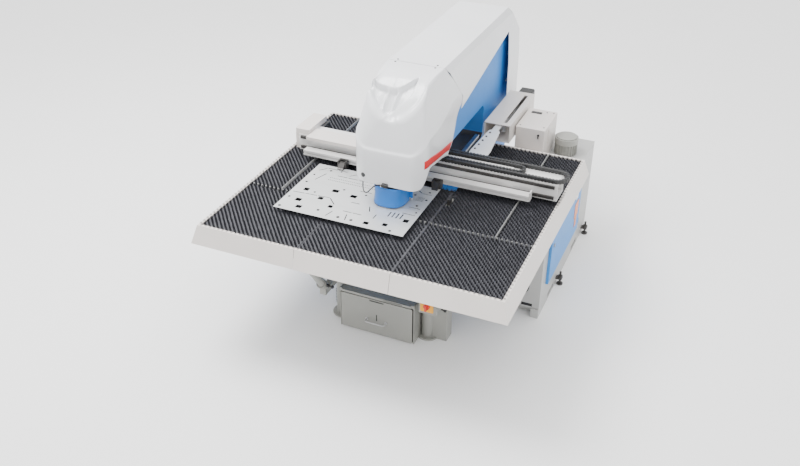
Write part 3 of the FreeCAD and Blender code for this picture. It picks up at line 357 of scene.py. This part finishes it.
brushSettings = {
    "pitchX": 34.0, "pitchY": 20.0, "bristles": 12, "footRadius": 5.6, "tipRadius": 10.4, "bristleRadius": 1.7,
    "margin": 0.5, "bedTop": 967.0, "tip": 996.0, "seed": 7,
    "module": 345.0, "row": -207.0, "wing": 820.0, "gap": 1.6, "dieHalf": 103,
}


# Staggered rows of tufts on a bed. A tuft's bristles start on a small ring and lean out to a wider one,
# foot + (foot direction) * spread, each a thin three-sided spike with its own height.
def tuftField(name, span, holes=(), slotAreas=()):
    s = brushSettings
    (x0, x1), (y0, y1) = span
    rng = np.random.default_rng(s["seed"] + int(x0 + 2 * y0) % 97)
    rows = np.arange(y0 + s["margin"] + 8, y1 - s["margin"] - 6, s["pitchY"])
    columns = np.arange(math.ceil((x0 - 40) / s["pitchX"]) * s["pitchX"], x1 + 40, s["pitchX"])
    gy, gx = np.meshgrid(rows, columns, indexing="ij")
    row = np.round((gy - (-847)) / s["pitchY"])
    gx = gx + (row % 2) * s["pitchX"] / 2
    centres = np.stack([gx.ravel(), gy.ravel()], 1)
    keep = (centres[:, 0] > x0 + s["margin"] + 7) & (centres[:, 0] < x1 - s["margin"] - 7)
    for hx, hy, radius in holes:
        keep &= np.hypot(centres[:, 0] - hx, centres[:, 1] - hy) > radius
    for ax0, ax1, ay0, ay1 in slotAreas:
        keep &= ~((centres[:, 0] > ax0) & (centres[:, 0] < ax1) & (centres[:, 1] > ay0) & (centres[:, 1] < ay1))
    centres = centres[keep]
    centres = centres + rng.normal(0, 0.5, centres.shape)
    count = s["bristles"]
    angle = np.arange(count) * 2.39996 + 0.4
    share = np.sqrt((np.arange(count) + 0.5) / count)
    spin = rng.uniform(0, 6.28, len(centres))[:, None]
    ring = np.stack([np.cos(angle + spin), np.sin(angle + spin)], -1) * share[None, :, None]
    foot = centres[:, None] + ring * s["footRadius"]
    tip = centres[:, None] + ring * s["tipRadius"] + rng.normal(0, 0.7, ring.shape)
    height = s["tip"] - rng.uniform(0.2, 3.0, ring.shape[:2]) - share[None] * 1.5
    corner = np.arange(3) * 2.0944
    spread = np.stack([np.cos(corner), np.sin(corner), 0 * corner], 1) * s["bristleRadius"]
    base = np.concatenate([foot, np.full((*foot.shape[:2], 1), s["bedTop"] - 1.5)], 2)[:, :, None] + spread
    top = np.concatenate([tip, height[..., None]], 2)[:, :, None]
    points = np.concatenate([base, top], 2).reshape(-1, 3)
    start = np.arange(len(points) // 4)[:, None, None] * 4
    triangles = (np.array([[0, 1, 3], [1, 2, 3], [2, 0, 3], [2, 1, 0]])[None] + start).reshape(-1, 3)
    field = piece(name, (points, noQuads, triangles), "bristle", "machine_frame",
                  tidy=False, sharp=70)
    bed = []
    edges = sorted({x0, x1, *[v for a in slotAreas for v in a[:2] if x0 < v < x1]})
    for a, b in zip(edges, edges[1:]):
        cuts = [area for area in slotAreas if area[0] < (a + b) / 2 < area[1]]
        if cuts:
            bed += [(a, b, y0, cuts[0][2], 950, s["bedTop"]), (a, b, cuts[0][3], y1, 950, s["bedTop"])]
        else:
            bed.append((a, b, y0, y1, 950, s["bedTop"]))
    return field, bed


def brushTable():
    low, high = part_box("brush_front_wings")
    outer, front = high.x * 1000, (low.y - toolY) * 1000
    rear = (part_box("brush_rear_wings")[1].y - toolY) * 1000
    centreRear = (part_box("brush_rear_centre")[1].y - toolY) * 1000
    module, row, wing, gap = (brushSettings[k] for k in ("module", "row", "wing", "gap"))
    stopLow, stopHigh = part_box("reference_stop")
    stop = (stopLow.x * 1000 - 9, stopHigh.x * 1000 + 9,
            (stopLow.y - toolY) * 1000 - 40, (stopHigh.y - toolY) * 1000 + 60)
    frontRow, rearRow, centre = (front, row - gap), (row + gap, rear), (-module + gap, module - gap)
    areas = {
        "frontLeft": ((-outer, -module - gap), frontRow),
        "frontCentre": (centre, frontRow),
        "frontRight": ((module + gap, outer), frontRow),
        "rearLeft": ((-wing + gap, -module - gap), rearRow),
        "rearRight": ((module + gap, wing - gap), rearRow),
        "outerLeft": ((-outer, -wing - gap), rearRow),
        "outerRight": ((wing + gap, outer), rearRow),
        "rearCentre": (centre, (row + gap, centreRear)),
    }
    beds = []
    for name, (xs, ys) in areas.items():
        holes = [(0, 0, 112)] if name == "rearCentre" else []
        slots = [stop] if name == "rearRight" else []
        field, bed = tuftField("tufts_" + name, (xs, ys), holes, slots)
        beds += bed
        print("tufts", name, len(field.data.polygons) // 36)
    centreBed = [b for b in beds if b[0] == -module + gap and b[2] == row + gap][0]
    beds.remove(centreBed)
    x0, x1, y0, y1, z0, z1 = centreBed
    die = brushSettings["dieHalf"]
    beds += [(x0, -die, y0, y1, z0, z1), (die, x1, y0, y1, z0, z1),
             (-die, die, y0, -die, z0, z1), (-die, die, die, y1, z0, z1)]
    piece("brushBeds", blocks(beds, 1.0), "brushBed", "machine_frame",
          stands=("brush_front_centre", "brush_front_wings", "brush_rear_wings", "brush_rear_centre"))
    strips = []
    for xs, ys in areas.values():
        if ys[0] > front + 1:
            places = np.arange(xs[0] + 4, xs[1] - 16, 34)
            strips += [(x, x + 13, ys[0] - 1.5, ys[0] + 2.5, 966, 985) for x in places]
    for x in (-wing, wing):
        strips.append((x - 1.4, x + 1.4, row + 2, rear - 2, 966, 992))
    piece("brushEdgeStrips", blocks(strips, 0.8), "lightGrey", "machine_frame")


brushTable()
print("brush table")

# nose cover

noseForm = {
    # fractions along half the outline: front middle, corner start, corner, corner end, side, seam
    "keys": (0, 0.3, 0.4, 0.5, 0.62, 0.75, 0.88, 1.0),
    "rings": [
        # front y, half-width in front, half-width at the seam, corner radius, heights at the keys
        (-150, 272, 252, 110, (1160, 1161, 1176, 1300, 1285, 1262, 1235, 1212)),
        (-150, 272, 249, 110, (1412, 1416, 1455, 1528, 1532, 1562, 1602, 1604)),
        (-147, 269, 249, 108, (1419, 1423, 1463, 1536, 1540, 1570, 1608, 1610)),
        (-137, 249, 248, 86, (1427, 1432, 1484, 1570, 1572, 1594, 1622, 1620)),
        (-134, 245, 247.5, 82, (1436, 1442, 1495, 1582, 1584, 1604, 1630, 1628)),
        (-122, 228, 240, 104, (1530, 1540, 1600, 1690, 1712, 1735, 1757, 1760)),
        (-109, 208, 219, 140, (1620, 1632, 1700, 1800, 1832, 1850, 1862, 1864)),
        (-102, 199, 211, 150, (1634, 1648, 1720, 1820, 1852, 1868, 1876, 1878)),
        (-88, 188, 207, 150, (1640, 1656, 1732, 1832, 1862, 1875, 1879.5, 1880)),
    ],
    "rearEdge": ((1160, 335), (1212, 362), (1250, 420), (1290, 468), (1395, 515), (1440, 534), (1480, 572),
                 (1512, 630), (1530, 650), (1563, 654), (1600, 620), (1718, 508), (1880, 357)),
    "topRise": ((0, 0), (0.05, 0.05), (0.10, 0.2), (0.22, 0.49), (0.353, 0.72),
                (0.5, 0.89), (0.66, 0.975), (1, 1)),
    "scoop": {"centre": -58, "half": 165, "depth": 34, "ribs": (-75, -12), "ribHalf": 10},
    "columns": 105, "step": 9.0, "wall": 0.004,
}


# A smooth curve through the values: each stretch is a cubic whose end slopes are those of the neighbours.
def smoothTrack(keys, values, at):
    keys, values = np.asarray(keys, float), np.asarray(values, float)
    slope = np.gradient(values, keys)
    rise = np.diff(values) / np.diff(keys)
    limit = 3 * np.minimum(np.abs(np.r_[rise, rise[-1]]), np.abs(np.r_[rise[0], rise]))
    slope = np.clip(slope, -limit, limit)
    i = np.clip(np.searchsorted(keys, at, side="right") - 1, 0, len(keys) - 2)
    width = keys[i + 1] - keys[i]
    s = (at - keys[i]) / width
    return ((1 + 2 * s) * (1 - s) ** 2 * values[i] + s * (1 - s) ** 2 * width * slope[i]
            + s ** 2 * (3 - 2 * s) * values[i + 1] + s ** 2 * (s - 1) * width * slope[i + 1])


def softStep(low, high, at):
    s = np.clip((at - low) / (high - low), 0, 1)
    return s * s * (3 - 2 * s)


# One level of the cover: straight front, round corner, straight side back to the rear edge, at its own heights.
def noseRing(ring, t):
    front, half, seamHalf, corner, heights = ring
    f = noseForm
    side = np.sign(t)
    t = np.abs(t)
    z = smoothTrack(f["keys"], heights, t)
    edgeZ, edgeY = zip(*f["rearEdge"])
    rearY = np.interp(z, edgeZ, edgeY)
    angle = np.clip((t - 0.3) / 0.2, 0, 1) * math.pi / 2
    x = np.where(t < 0.3, (half - corner) * t / 0.3, half - corner + corner * np.sin(angle))
    y = np.where(t < 0.3, front, front + corner * (1 - np.cos(angle)))
    back = np.clip((t - 0.5) / 0.5, 0, 1)
    x = x + (seamHalf - half) * softStep(0, 1, back)
    y = np.where(t > 0.5, front + corner + (rearY - front - corner) * back, y)
    return np.stack([side * x, y, z], -1)


# Rings from rim to lip, then rows that run from the lip to the top seam; the scoop is let into those rows.
def noseSkin():
    f = noseForm
    t = np.linspace(-1, 1, f["columns"] * 2 + 1)
    t = np.sign(t) * np.abs(t) ** 0.92
    rings = np.stack([noseRing(r, t) for r in f["rings"]])
    levels = [rings[:1]]
    for low, high in zip(rings, rings[1:]):
        steps = max(2, int(np.linalg.norm(high - low, axis=1).max() / f["step"]))
        share = np.linspace(0, 1, steps + 1)[1:, None, None]
        levels.append(low + (high - low) * share)
    wallGrid = np.concatenate(levels)
    edgeZ, edgeY = zip(*f["rearEdge"])  # every level runs back to the rear edge at its own height
    back = np.clip((np.abs(t) - 0.5) / 0.5, 0, 1)
    start = wallGrid[:, np.argmin(np.abs(np.abs(t) - 0.5)), 1][:, None]
    straight = start + (np.interp(wallGrid[..., 2], edgeZ, edgeY) - start) * back
    wallGrid[..., 1] = np.where(back > 0, straight, wallGrid[..., 1])
    lip = rings[-1]
    q = np.linspace(0, 1, 60)[1:, None]
    seamX = np.interp(t, np.linspace(-1, 1, 9), np.linspace(-206, 206, 9))
    seam = np.stack([seamX, np.full_like(t, 357.0), np.full_like(t, 1880.0)], -1)
    riseKeys, riseValues = zip(*f["topRise"])
    rise = smoothTrack(riseKeys, riseValues, q.ravel())[:, None, None]
    top = lip + (seam - lip) * np.stack([q, q, rise[..., 0]], -1)
    skin = np.concatenate([wallGrid, top])
    for _ in range(3):
        skin[1:-1] = skin[1:-1] * 0.5 + (skin[:-2] + skin[2:]) * 0.25
    s = f["scoop"]
    x, y, z = skin[..., 0], skin[..., 1], skin[..., 2]
    u = np.clip((x - s["centre"]) / s["half"], -1, 1)
    upper = 53 + np.where(u < 0, 32, 123) * u ** 2
    lower = -78 + 104 * np.abs(u) ** 1.3
    depth = softStep(0, 26, y - lower) * softStep(0, 12, upper - y) * softStep(0, 0.1, 1 - np.abs(u))
    depth = depth * (z > 1640)
    ribs = sum(np.exp(-((x - rib - (y + 10) * 0.16) / s["ribHalf"]) ** 2) for rib in s["ribs"])
    skin[..., 2] -= s["depth"] * depth * (1 - 0.55 * np.clip(ribs, 0, 1))
    skin[..., 1] += 0.5 * s["depth"] * depth * (1 - 0.55 * np.clip(ribs, 0, 1))
    return skin


noseGrid = noseSkin()
piece("noseShell", surface(noseGrid[:, ::-1]), "coverWhite", "machine_frame",
      stands=("nose_cover",), wall=noseForm["wall"], sharp=60)
print("nose cover", noseGrid.shape)


# A thin band on the skirt's right side, level with the rim and standing 0.6 mm off it.
def redBand():
    t = np.linspace(0.43, 0.985, 70)
    rim, ledge = noseRing(noseForm["rings"][0], t), noseRing(noseForm["rings"][1], t)
    height = ledge[:, 2] - rim[:, 2]
    lowShare = (np.interp(t, (0.43, 0.5, 1), (1322, 1328, 1240)) - rim[:, 2]) / height
    highShare = (np.interp(t, (0.43, 0.5, 0.75, 1), (1382, 1388, 1330, 1288)) - rim[:, 2]) / height
    share = lowShare + (highShare - lowShare) * np.linspace(0, 1, 6)[:, None]
    skin = rim[None] + (ledge - rim)[None] * share[..., None]
    edgeZ, edgeY = zip(*noseForm["rearEdge"])
    back, start = np.clip((t - 0.5) / 0.5, 0, 1), noseForm["rings"][0][0] + noseForm["rings"][0][3]
    straight = start + (np.interp(skin[..., 2], edgeZ, edgeY) - start) * back
    skin[..., 1] = np.where(back > 0, straight, skin[..., 1])
    along = np.gradient(skin, axis=1)
    outward = np.stack([along[..., 1], -along[..., 0], 0 * along[..., 0]], -1)
    outward /= np.linalg.norm(outward, axis=-1, keepdims=True)
    outward *= np.sign(outward[..., :1])
    piece("redBand", surface(skin + outward * 0.9), "bandRed", "machine_frame",
          wall=0.0006, sharp=60)


redBand()
# sheet in the clamps

def circleLoop(x, y, radius, steps=14):
    angle = np.linspace(0, 2 * math.pi, steps, endpoint=False)
    return np.stack([x + radius * np.cos(angle), y + radius * np.sin(angle)], 1)


# A long hole with round ends, turned about its middle.
def slotLoop(x, y, length, width, turn=0.0):
    angle = np.linspace(-math.pi / 2, math.pi / 2, 5)
    half = length / 2 - width / 2
    end = np.stack([half + width / 2 * np.cos(angle), width / 2 * np.sin(angle)], 1)
    loop = np.concatenate([end, -end])
    c, s = math.cos(turn), math.sin(turn)
    return loop @ np.array([[c, s], [-s, c]]) + (x, y)


def boxLoop(x0, x1, y0, y1):
    return np.array([(x0, y0), (x1, y0), (x1, y1), (x0, y1)], float)


# A cut outline as a row of narrow slots with small bridges left between them.
def cutLines(path, width=7.0, gap=6.0, run=90.0):
    loops = []
    path = np.asarray(path, float)
    for a, b in zip(path, path[1:]):
        length = np.linalg.norm(b - a)
        count = max(1, int(round(length / run)))
        turn = math.atan2(*(b - a)[::-1])
        for i in range(count):
            middle = a + (b - a) * (i + 0.5) / count
            loops.append(slotLoop(*middle, length / count - gap, width, turn))
    return loops


sheetForm = {
    "windows": ((-640, -335, 46, 40), (-500, -255, 40, 36), (-590, -420, 44, 38), (-380, -330, 34, 34),
        (-655, -180, 40, 40), (-455, -120, 52, 38), (-300, -140, 50, 38), (-60, -430, 40, 34),
        (70, -400, 36, 36), (180, -300, 40, 40)),
    "holes": ((-700, -300, 10), (-560, -175, 9), (-420, -390, 11), (-250, -420, 12), (-150, -420, 12),
        (-700, -440, 12), (150, -440, 11), (222, -150, 9), (-380, -60, 9), (-690, -60, 10), (-600, 160, 10),
        (-520, 175, 8), (-330, 150, 9), (190, -60, 10), (222, 40, 10), (-690, 60, 9), (-200, -70, 9),
        (120, 80, 10), (205, 150, 9)),
}


def sheetCuts():
    loops = [circleLoop(0, 0, 11, 24)]
    # rows of small square perforations
    for row, (x0, x1, y) in enumerate(((-560, -150, 62), (-560, -150, 28))):
        for x in np.arange(x0, x1, 15.0):
            loops.append(boxLoop(x, x + 8, y, y + 8))
    for x, y, w, h in sheetForm["windows"]:
        loops.append(boxLoop(x, x + w, y, y + h))
    for x, y, r in sheetForm["holes"]:
        loops.append(circleLoop(x, y, r))
    # slots in front of the guard
    for i in range(4):
        loops.append(slotLoop(60 + 30 * i, -240, 70, 9, math.pi / 2))
    for i in range(4):
        loops.append(slotLoop(175, 60 - 16 * i, 60, 6, 0.0))
    # cut outlines
    loops += cutLines([(-650, -10), (-610, 110), (-170, 110), (-150, 75)])
    loops += cutLines([(-690, 130), (-640, 190), (-470, 190)])
    loops += cutLines([(-440, 135), (-380, 195), (-250, 195), (-235, 140)])
    loops += cutLines([(-715, -225), (-420, -205), (-350, -280), (-310, -210)])
    loops += cutLines([(-340, -440), (-320, -360), (-210, -360), (-190, -440)])
    loops += cutLines([(-260, -330), (-110, -330), (-80, -270), (-110, -200), (-260, -200)])
    loops += cutLines([(-20, -345), (-20, -280), (110, -290)])
    loops += cutLines([(-270, -30), (-170, -30), (-170, -5)])
    loops += cutLines([(130, -190), (235, -190), (235, -95), (140, -95)])
    loops += cutLines([(90, 170), (160, 120), (235, 120)])
    return loops


# Outline and holes filled as one flat face net, then given the sheet's thickness.
def makeSheet():
    low, high = (inMillimetres(v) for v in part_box("workpiece_sheet"))
    outline = boxLoop(low[0], high[0], low[1], high[1])
    work = bmesh.new()
    edges = []
    taken = []
    for number, loop in enumerate([outline] + sheetCuts()):
        if number:
            a, b = loop.min(0) - 1.5, loop.max(0) + 1.5
            if (a < low[:2] + 4).any() or (b > high[:2] - 4).any():
                continue
            if any((a < d).all() and (b > c).all() for c, d in taken):
                continue
            taken.append((a, b))
        verts = [work.verts.new(p) for p in inFrame(np.c_[loop, np.full(len(loop), high[2])]).tolist()]
        edges += [work.edges.new((verts[i - 1], verts[i])) for i in range(len(verts))]
    bmesh.ops.triangle_fill(work, use_beauty=True, use_dissolve=False, edges=edges, normal=(0, 0, 1))
    bmesh.ops.recalc_face_normals(work, faces=work.faces)
    if sum(face.normal.z for face in work.faces) < 0:
        bmesh.ops.reverse_faces(work, faces=work.faces)
    mesh = bpy.data.meshes.new("cutSheet")
    work.to_mesh(mesh)
    work.free()
    mesh.materials.append(finish["sheetSteel"])
    sheet = bpy.data.objects.new("cutSheet", mesh)
    scene.collection.objects.link(sheet)
    shell = sheet.modifiers.new("thickness", "SOLIDIFY")
    shell.thickness, shell.offset = (high[2] - low[2]) / 1000, -1
    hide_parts("workpiece_sheet")
    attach(sheet, "x_carriage")
    print("sheet with", len(taken), "cuts")


def inMillimetres(corner):
    return np.array([corner[0] * 1000, (corner[1] - toolY) * 1000, corner[2] * 1000])


makeSheet()

# CAD nodes keep their shape and take these finishes

finishNodes = {
    "framePaint": ("c_frame",),
    "doorPaint": ("cabinet_door",),
    "groundSteel": ("die_holder", "door_lock", "drawer_handle", "guard_hanger", "multi_tool", "punch", "ram",
        "ram_housing", "stripper", "y_rails", "y_screw"),
    "darkSteel": ("bracket_bolts", "clamp_bodies", "clamp_jaw_left", "clamp_jaw_right", "cover_screws",
        "levelling_feet", "reference_stop", "saddle", "tool_holder", "x_rails"),
    "greyPaint": ("pump_motor", "slug_drawer", "slug_housing", "support_columns", "switch_box",
        "table_frame_centre", "table_strut", "table_wings"),
    "lightGrey": ("cabinet",),
    "blackPlastic": ("air_box_latch", "cable_chains", "nose_plugs", "strut_lever", "valve_lever", "x_motor",
        "y_motor"),
    "switchYellow": ("switch_plate",),
    "switchRed": ("switch_knob",),
    "creamPaint": ("air_box", "apron_front", "beam_top_cover", "end_housing", "side_and_rear_aprons",
        "y_drive_housing"),
    "coverWhite": ("arm_cover", "nose_cover"),
    "guardBlue": ("guard",),
    "blackRubber": ("guard_cable",),
    "extrusion": ("beam_tray", "clamp_rail", "x_beam", "y_bracket"),
    "sheetSteel": ("workpiece_sheet",),
    "bristle": ("brush_front_centre", "brush_front_wings", "brush_rear_centre", "brush_rear_wings"),
}
nodeFinish = {node: name for name, nodes in finishNodes.items() for node in nodes}
for name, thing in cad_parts.items():
    if not thing.material_slots:
        thing.data.materials.append(finish[nodeFinish[name]])
    for place in thing.material_slots:
        place.material = finish[nodeFinish[name]]
print("finishes on", len(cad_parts), "nodes")

# small details: flush inlays, slots and holes as near-black boxes painted in as shade, patches and screws
# standing under a millimetre off their panels

detailSettings = {
    # name: (body, finish, slot, edge, boxes as x0 x1 y0 y1 z0 z1)
    # the first four are near-black boxes painted in as shade where the panels have slots and holes
    "drawerSlots": ("drawer_unit", "hollowShade", "dark_steel", 0.2,
                    [(-54, 60, -351.8, -350, 296, 306), (-1.6, 6.4, -351.8, -350, 128, 186)]),
    "columnPerforations": ("machine_frame", "hollowShade", "dark_steel", 0.2,
                           [(-331, -323, -343.8, -342, z, z + 6) for z in range(206, 320, 14)]),
    "forkSlot": ("machine_frame", "hollowShade", "dark_steel", 0.2, [(905, 990, 329.2, 331, 92, 118)]),
    "serviceRing": ("machine_frame", "hollowShade", "dark_steel", 0.2, [(996, 1012, 329.2, 331, 510, 530)]),
    "doorPatchUpper": ("door_unit", "lampGlass", "cover_paint", 0.15, []),
    "doorPatchLower": ("door_unit", "orangePaint", "yellow_plate", 0.15, []),
    "airBoxHandle": ("machine_frame", "blackPlastic", "black_plastic", 1.0, []),
}


def frontInlays():
    door = [inMillimetres(v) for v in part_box("cabinet_door")]
    side = float(door[1][0])
    pan = (side - 1.2, side + 0.6)
    detailSettings["doorPatchUpper"][4].append((*pan, 1165, 1235, 600, 690))
    detailSettings["doorPatchLower"][4].extend([(*pan, 1170, 1290, 420, 560), (*pan, 1200, 1260, 330, 425)])
    low, high = (inMillimetres(v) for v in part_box("air_box"))
    handle = (low[0] + 40, low[0] + 125, high[1] - 90, high[1] - 60, high[2] - 1, high[2] + 6)
    detailSettings["airBoxHandle"][4].append(handle)
    spots = [(low[0] + 160, high[1] - 40), (high[0] - 25, high[1] - 30),
             (high[0] - 25, low[1] + 60), (low[0] + 25, low[1] + 40)]
    screws = [capScrew((x, y, high[2] - 0.5), (0, 0, 1), 6, 3) for x, y in spots]
    piece("airBoxScrews", together(screws), "darkSteel", "machine_frame")
    fanX, fanZ = 868, 270
    for i, radius in enumerate((89, 69, 49, 29, 11)):  # dark discs are painted shade in the grille's gaps between grey rings, each disc a little further out
        disc = bar(radius, (fanX, 330.5, fanZ), (fanX, 329.6 - 0.15 * i, fanZ), 36, 0.2)
        material = "hollowShade" if i % 2 == 0 else "greyPaint"
        piece("fanRing" + str(i + 1), disc, material, "machine_frame")
    for name, (body, material, slotName, edge, boxes) in detailSettings.items():
        if boxes:
            piece(name, blocks(boxes, edge), material, body)


frontInlays()
print("small details")

# guard in front of the tool

guardSettings = {
    "low": ((-122, -20), (-128, -110), (-70, -182), (60, -182), (112, -120), (116, -20)),
    "high": ((-128, -4), (-132, -100), (-80, -160), (70, -160), (116, -100), (120, -4)),
    "wall": 0.004, "rows": 14, "hollow": 5.0,
}


# Rounded outlines, each corner cut off to quarter points four times, joined by straight rows drawn in a little
# at half height: in = hollow * sin(pi * share).
def makeGuard(setup):
    low, high = (inMillimetres(v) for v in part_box("guard"))
    ends = []
    for outline in (setup["low"], setup["high"]):
        line = np.array(outline, float)
        for _ in range(4):
            near, far = line[:-1] * 0.75 + line[1:] * 0.25, line[:-1] * 0.25 + line[1:] * 0.75
            line = np.concatenate([line[:1], np.stack([near, far], 1).reshape(-1, 2), line[-1:]])
        ends.append(line)
    share = np.linspace(0, 1, setup["rows"])[:, None, None]
    plan = ends[0] + (ends[1] - ends[0]) * share
    plan = plan * (1 - setup["hollow"] / 120 * np.sin(math.pi * share))
    z = np.broadcast_to(low[2] + (high[2] - low[2]) * share, (*plan.shape[:2], 1))
    shell = surface(np.concatenate([plan, z], -1))
    piece("guardShell", shell, "guardBlue", "guard_unit", stands=("guard",),
          wall=setup["wall"], sharp=60)
    leaf = blocks([(112, 131, -19, -12, low[2] + 22, high[2] - 12)], 1.0)
    knuckle = bar(7.6, (132, -14, low[2] + 20), (132, -14, high[2] - 10))
    piece("guardKnuckle", together([leaf, knuckle]), "guardBlue", "guard_unit")


makeGuard(guardSettings)
print("guard")

# cable chains

chainSettings = {
    "loops": ((-200, 1045, 76, 13), (-150, 760, 43, 11)),  # start, end, radius, half-width
    "pitch": 25.0, "height": 30.0, "notch": 2.6,
}


# A flat U path, two runs and a half circle, carrying a chamfered box whose sides step in between links:
# half-width w = half - notch where the place along the path is in the last third of a link.
def chainLoop(xLow, xEnd, yMid, radius, half, z0, z1):
    run = xEnd - xLow
    total = 2 * run + math.pi * radius
    count = int(total / chainSettings["pitch"])
    share = np.array([0, 0.62, 0.66, 0.96])
    s = np.append(((np.arange(count)[:, None] + share) / count).ravel(), 1) * total
    narrow = np.append(np.tile([0, 0, 1, 1], count), 0) * chainSettings["notch"]
    a = np.clip((s - run) / radius, 0, math.pi)
    bend = np.where(s > total - run, xEnd - (s - (total - run)), xEnd + radius * np.sin(a))
    x = np.where(s < run, xLow + s, bend)
    y = yMid - radius * np.cos(a)
    normal = np.stack([np.sin(a), -np.cos(a), 0 * a], -1)
    path = np.stack([x, y, np.full_like(x, (z0 + z1) / 2)], -1)
    tall = (z1 - z0) / 2
    corner = np.array([(-1, -0.8), (-0.8, -1), (0.8, -1), (1, -0.8), (1, 0.8), (0.8, 1), (-0.8, 1), (-1, 0.8)])
    w, h = half - narrow, tall - narrow
    grid = path[:, None] + normal[:, None] * corner[None, :, :1] * w[:, None, None]
    grid[..., 2] += corner[None, :, 1] * h[:, None]
    points, quads, triangles = surface(grid, True)
    last = len(points) - 8
    caps = [[last, last + 1, last + 2, last + 3], [last, last + 3, last + 4, last + 7],
            [last + 4, last + 5, last + 6, last + 7], [3, 2, 1, 0], [7, 4, 3, 0], [7, 6, 5, 4]]
    return points, np.concatenate([quads, np.array(caps)]), triangles


def makeChains(setup):
    low, high = (inMillimetres(v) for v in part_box("cable_chains"))
    yMid, tray, top = (low[1] + high[1]) / 2, low[2], low[2] + setup["height"]
    shapes = [chainLoop(a, b, yMid, r, h, tray, top) for a, b, r, h in setup["loops"]]
    piece("chainLinks", together(shapes), "blackPlastic", "y_carriage",
          stands=("cable_chains",), sharp=25)


makeChains(chainSettings)

# bracket screws: low heads that clear the roof of the drive's cover

bracketScrews = {"first": (368, 640), "step": (4.2, 76), "count": 5, "radius": 8, "height": 6.5}


def makeBracketScrews(setup):
    seat = inMillimetres(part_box("bracket_bolts")[0])[2]
    (x, y), (stepX, stepY) = setup["first"], setup["step"]
    places = [(x + stepX * i, y + stepY * i, seat) for i in range(setup["count"])]
    heads = [capScrew(place, (0, 0, 1), setup["radius"], setup["height"]) for place in places]
    piece("bracketScrews", together(heads), "darkSteel", "y_carriage", stands=("bracket_bolts",))


makeBracketScrews(bracketScrews)
print("cable chains")

# floor, lights

studioSettings = {
    "floor": 40.0, "world": (0.95, 2.7),
    "lamps": (("keyLight", 560, (-2.6, -0.6, 6.5), 3.5), ("fillLight", 40, (5.0, -3.5, 4.0), 4.0)),
}


def makeStudio(setup):
    half = setup["floor"] / 2
    mesh = bpy.data.meshes.new("floor")
    corners = [(-half, -half, 0), (half, -half, 0), (half, half, 0), (-half, half, 0)]
    mesh.from_pydata(corners, [], [(0, 1, 2, 3)])
    mesh.materials.append(finish["floorPaper"])
    floor = bpy.data.objects.new("floor", mesh)
    scene.collection.objects.link(floor)
    world = bpy.data.worlds.new("studio")
    world.use_nodes = True
    world.node_tree.nodes["Background"].inputs["Color"].default_value = (1, 1, 1, 1)
    nodes, links = world.node_tree.nodes, world.node_tree.links
    split, rise = nodes.new("ShaderNodeSeparateXYZ"), nodes.new("ShaderNodeMapRange")
    links.new(nodes.new("ShaderNodeTexCoord").outputs["Generated"], split.inputs["Vector"])
    links.new(split.outputs["Z"], rise.inputs["Value"])
    darkest, brightest = setup["world"]  # brighter overhead
    rise.inputs["To Min"].default_value, rise.inputs["To Max"].default_value = darkest, brightest
    links.new(rise.outputs["Result"], nodes["Background"].inputs["Strength"])
    scene.world = world
    for name, power, place, size in setup["lamps"]:
        lamp = bpy.data.lights.new(name, "AREA")
        lamp.energy, lamp.size, lamp.shape = power, size, "DISK"
        light = bpy.data.objects.new(name, lamp)
        light.location = place
        light.rotation_euler = (Vector((0, 0, 0.8)) - Vector(place)).to_track_quat("-Z", "Y").to_euler()
        scene.collection.objects.link(light)


makeStudio(studioSettings)
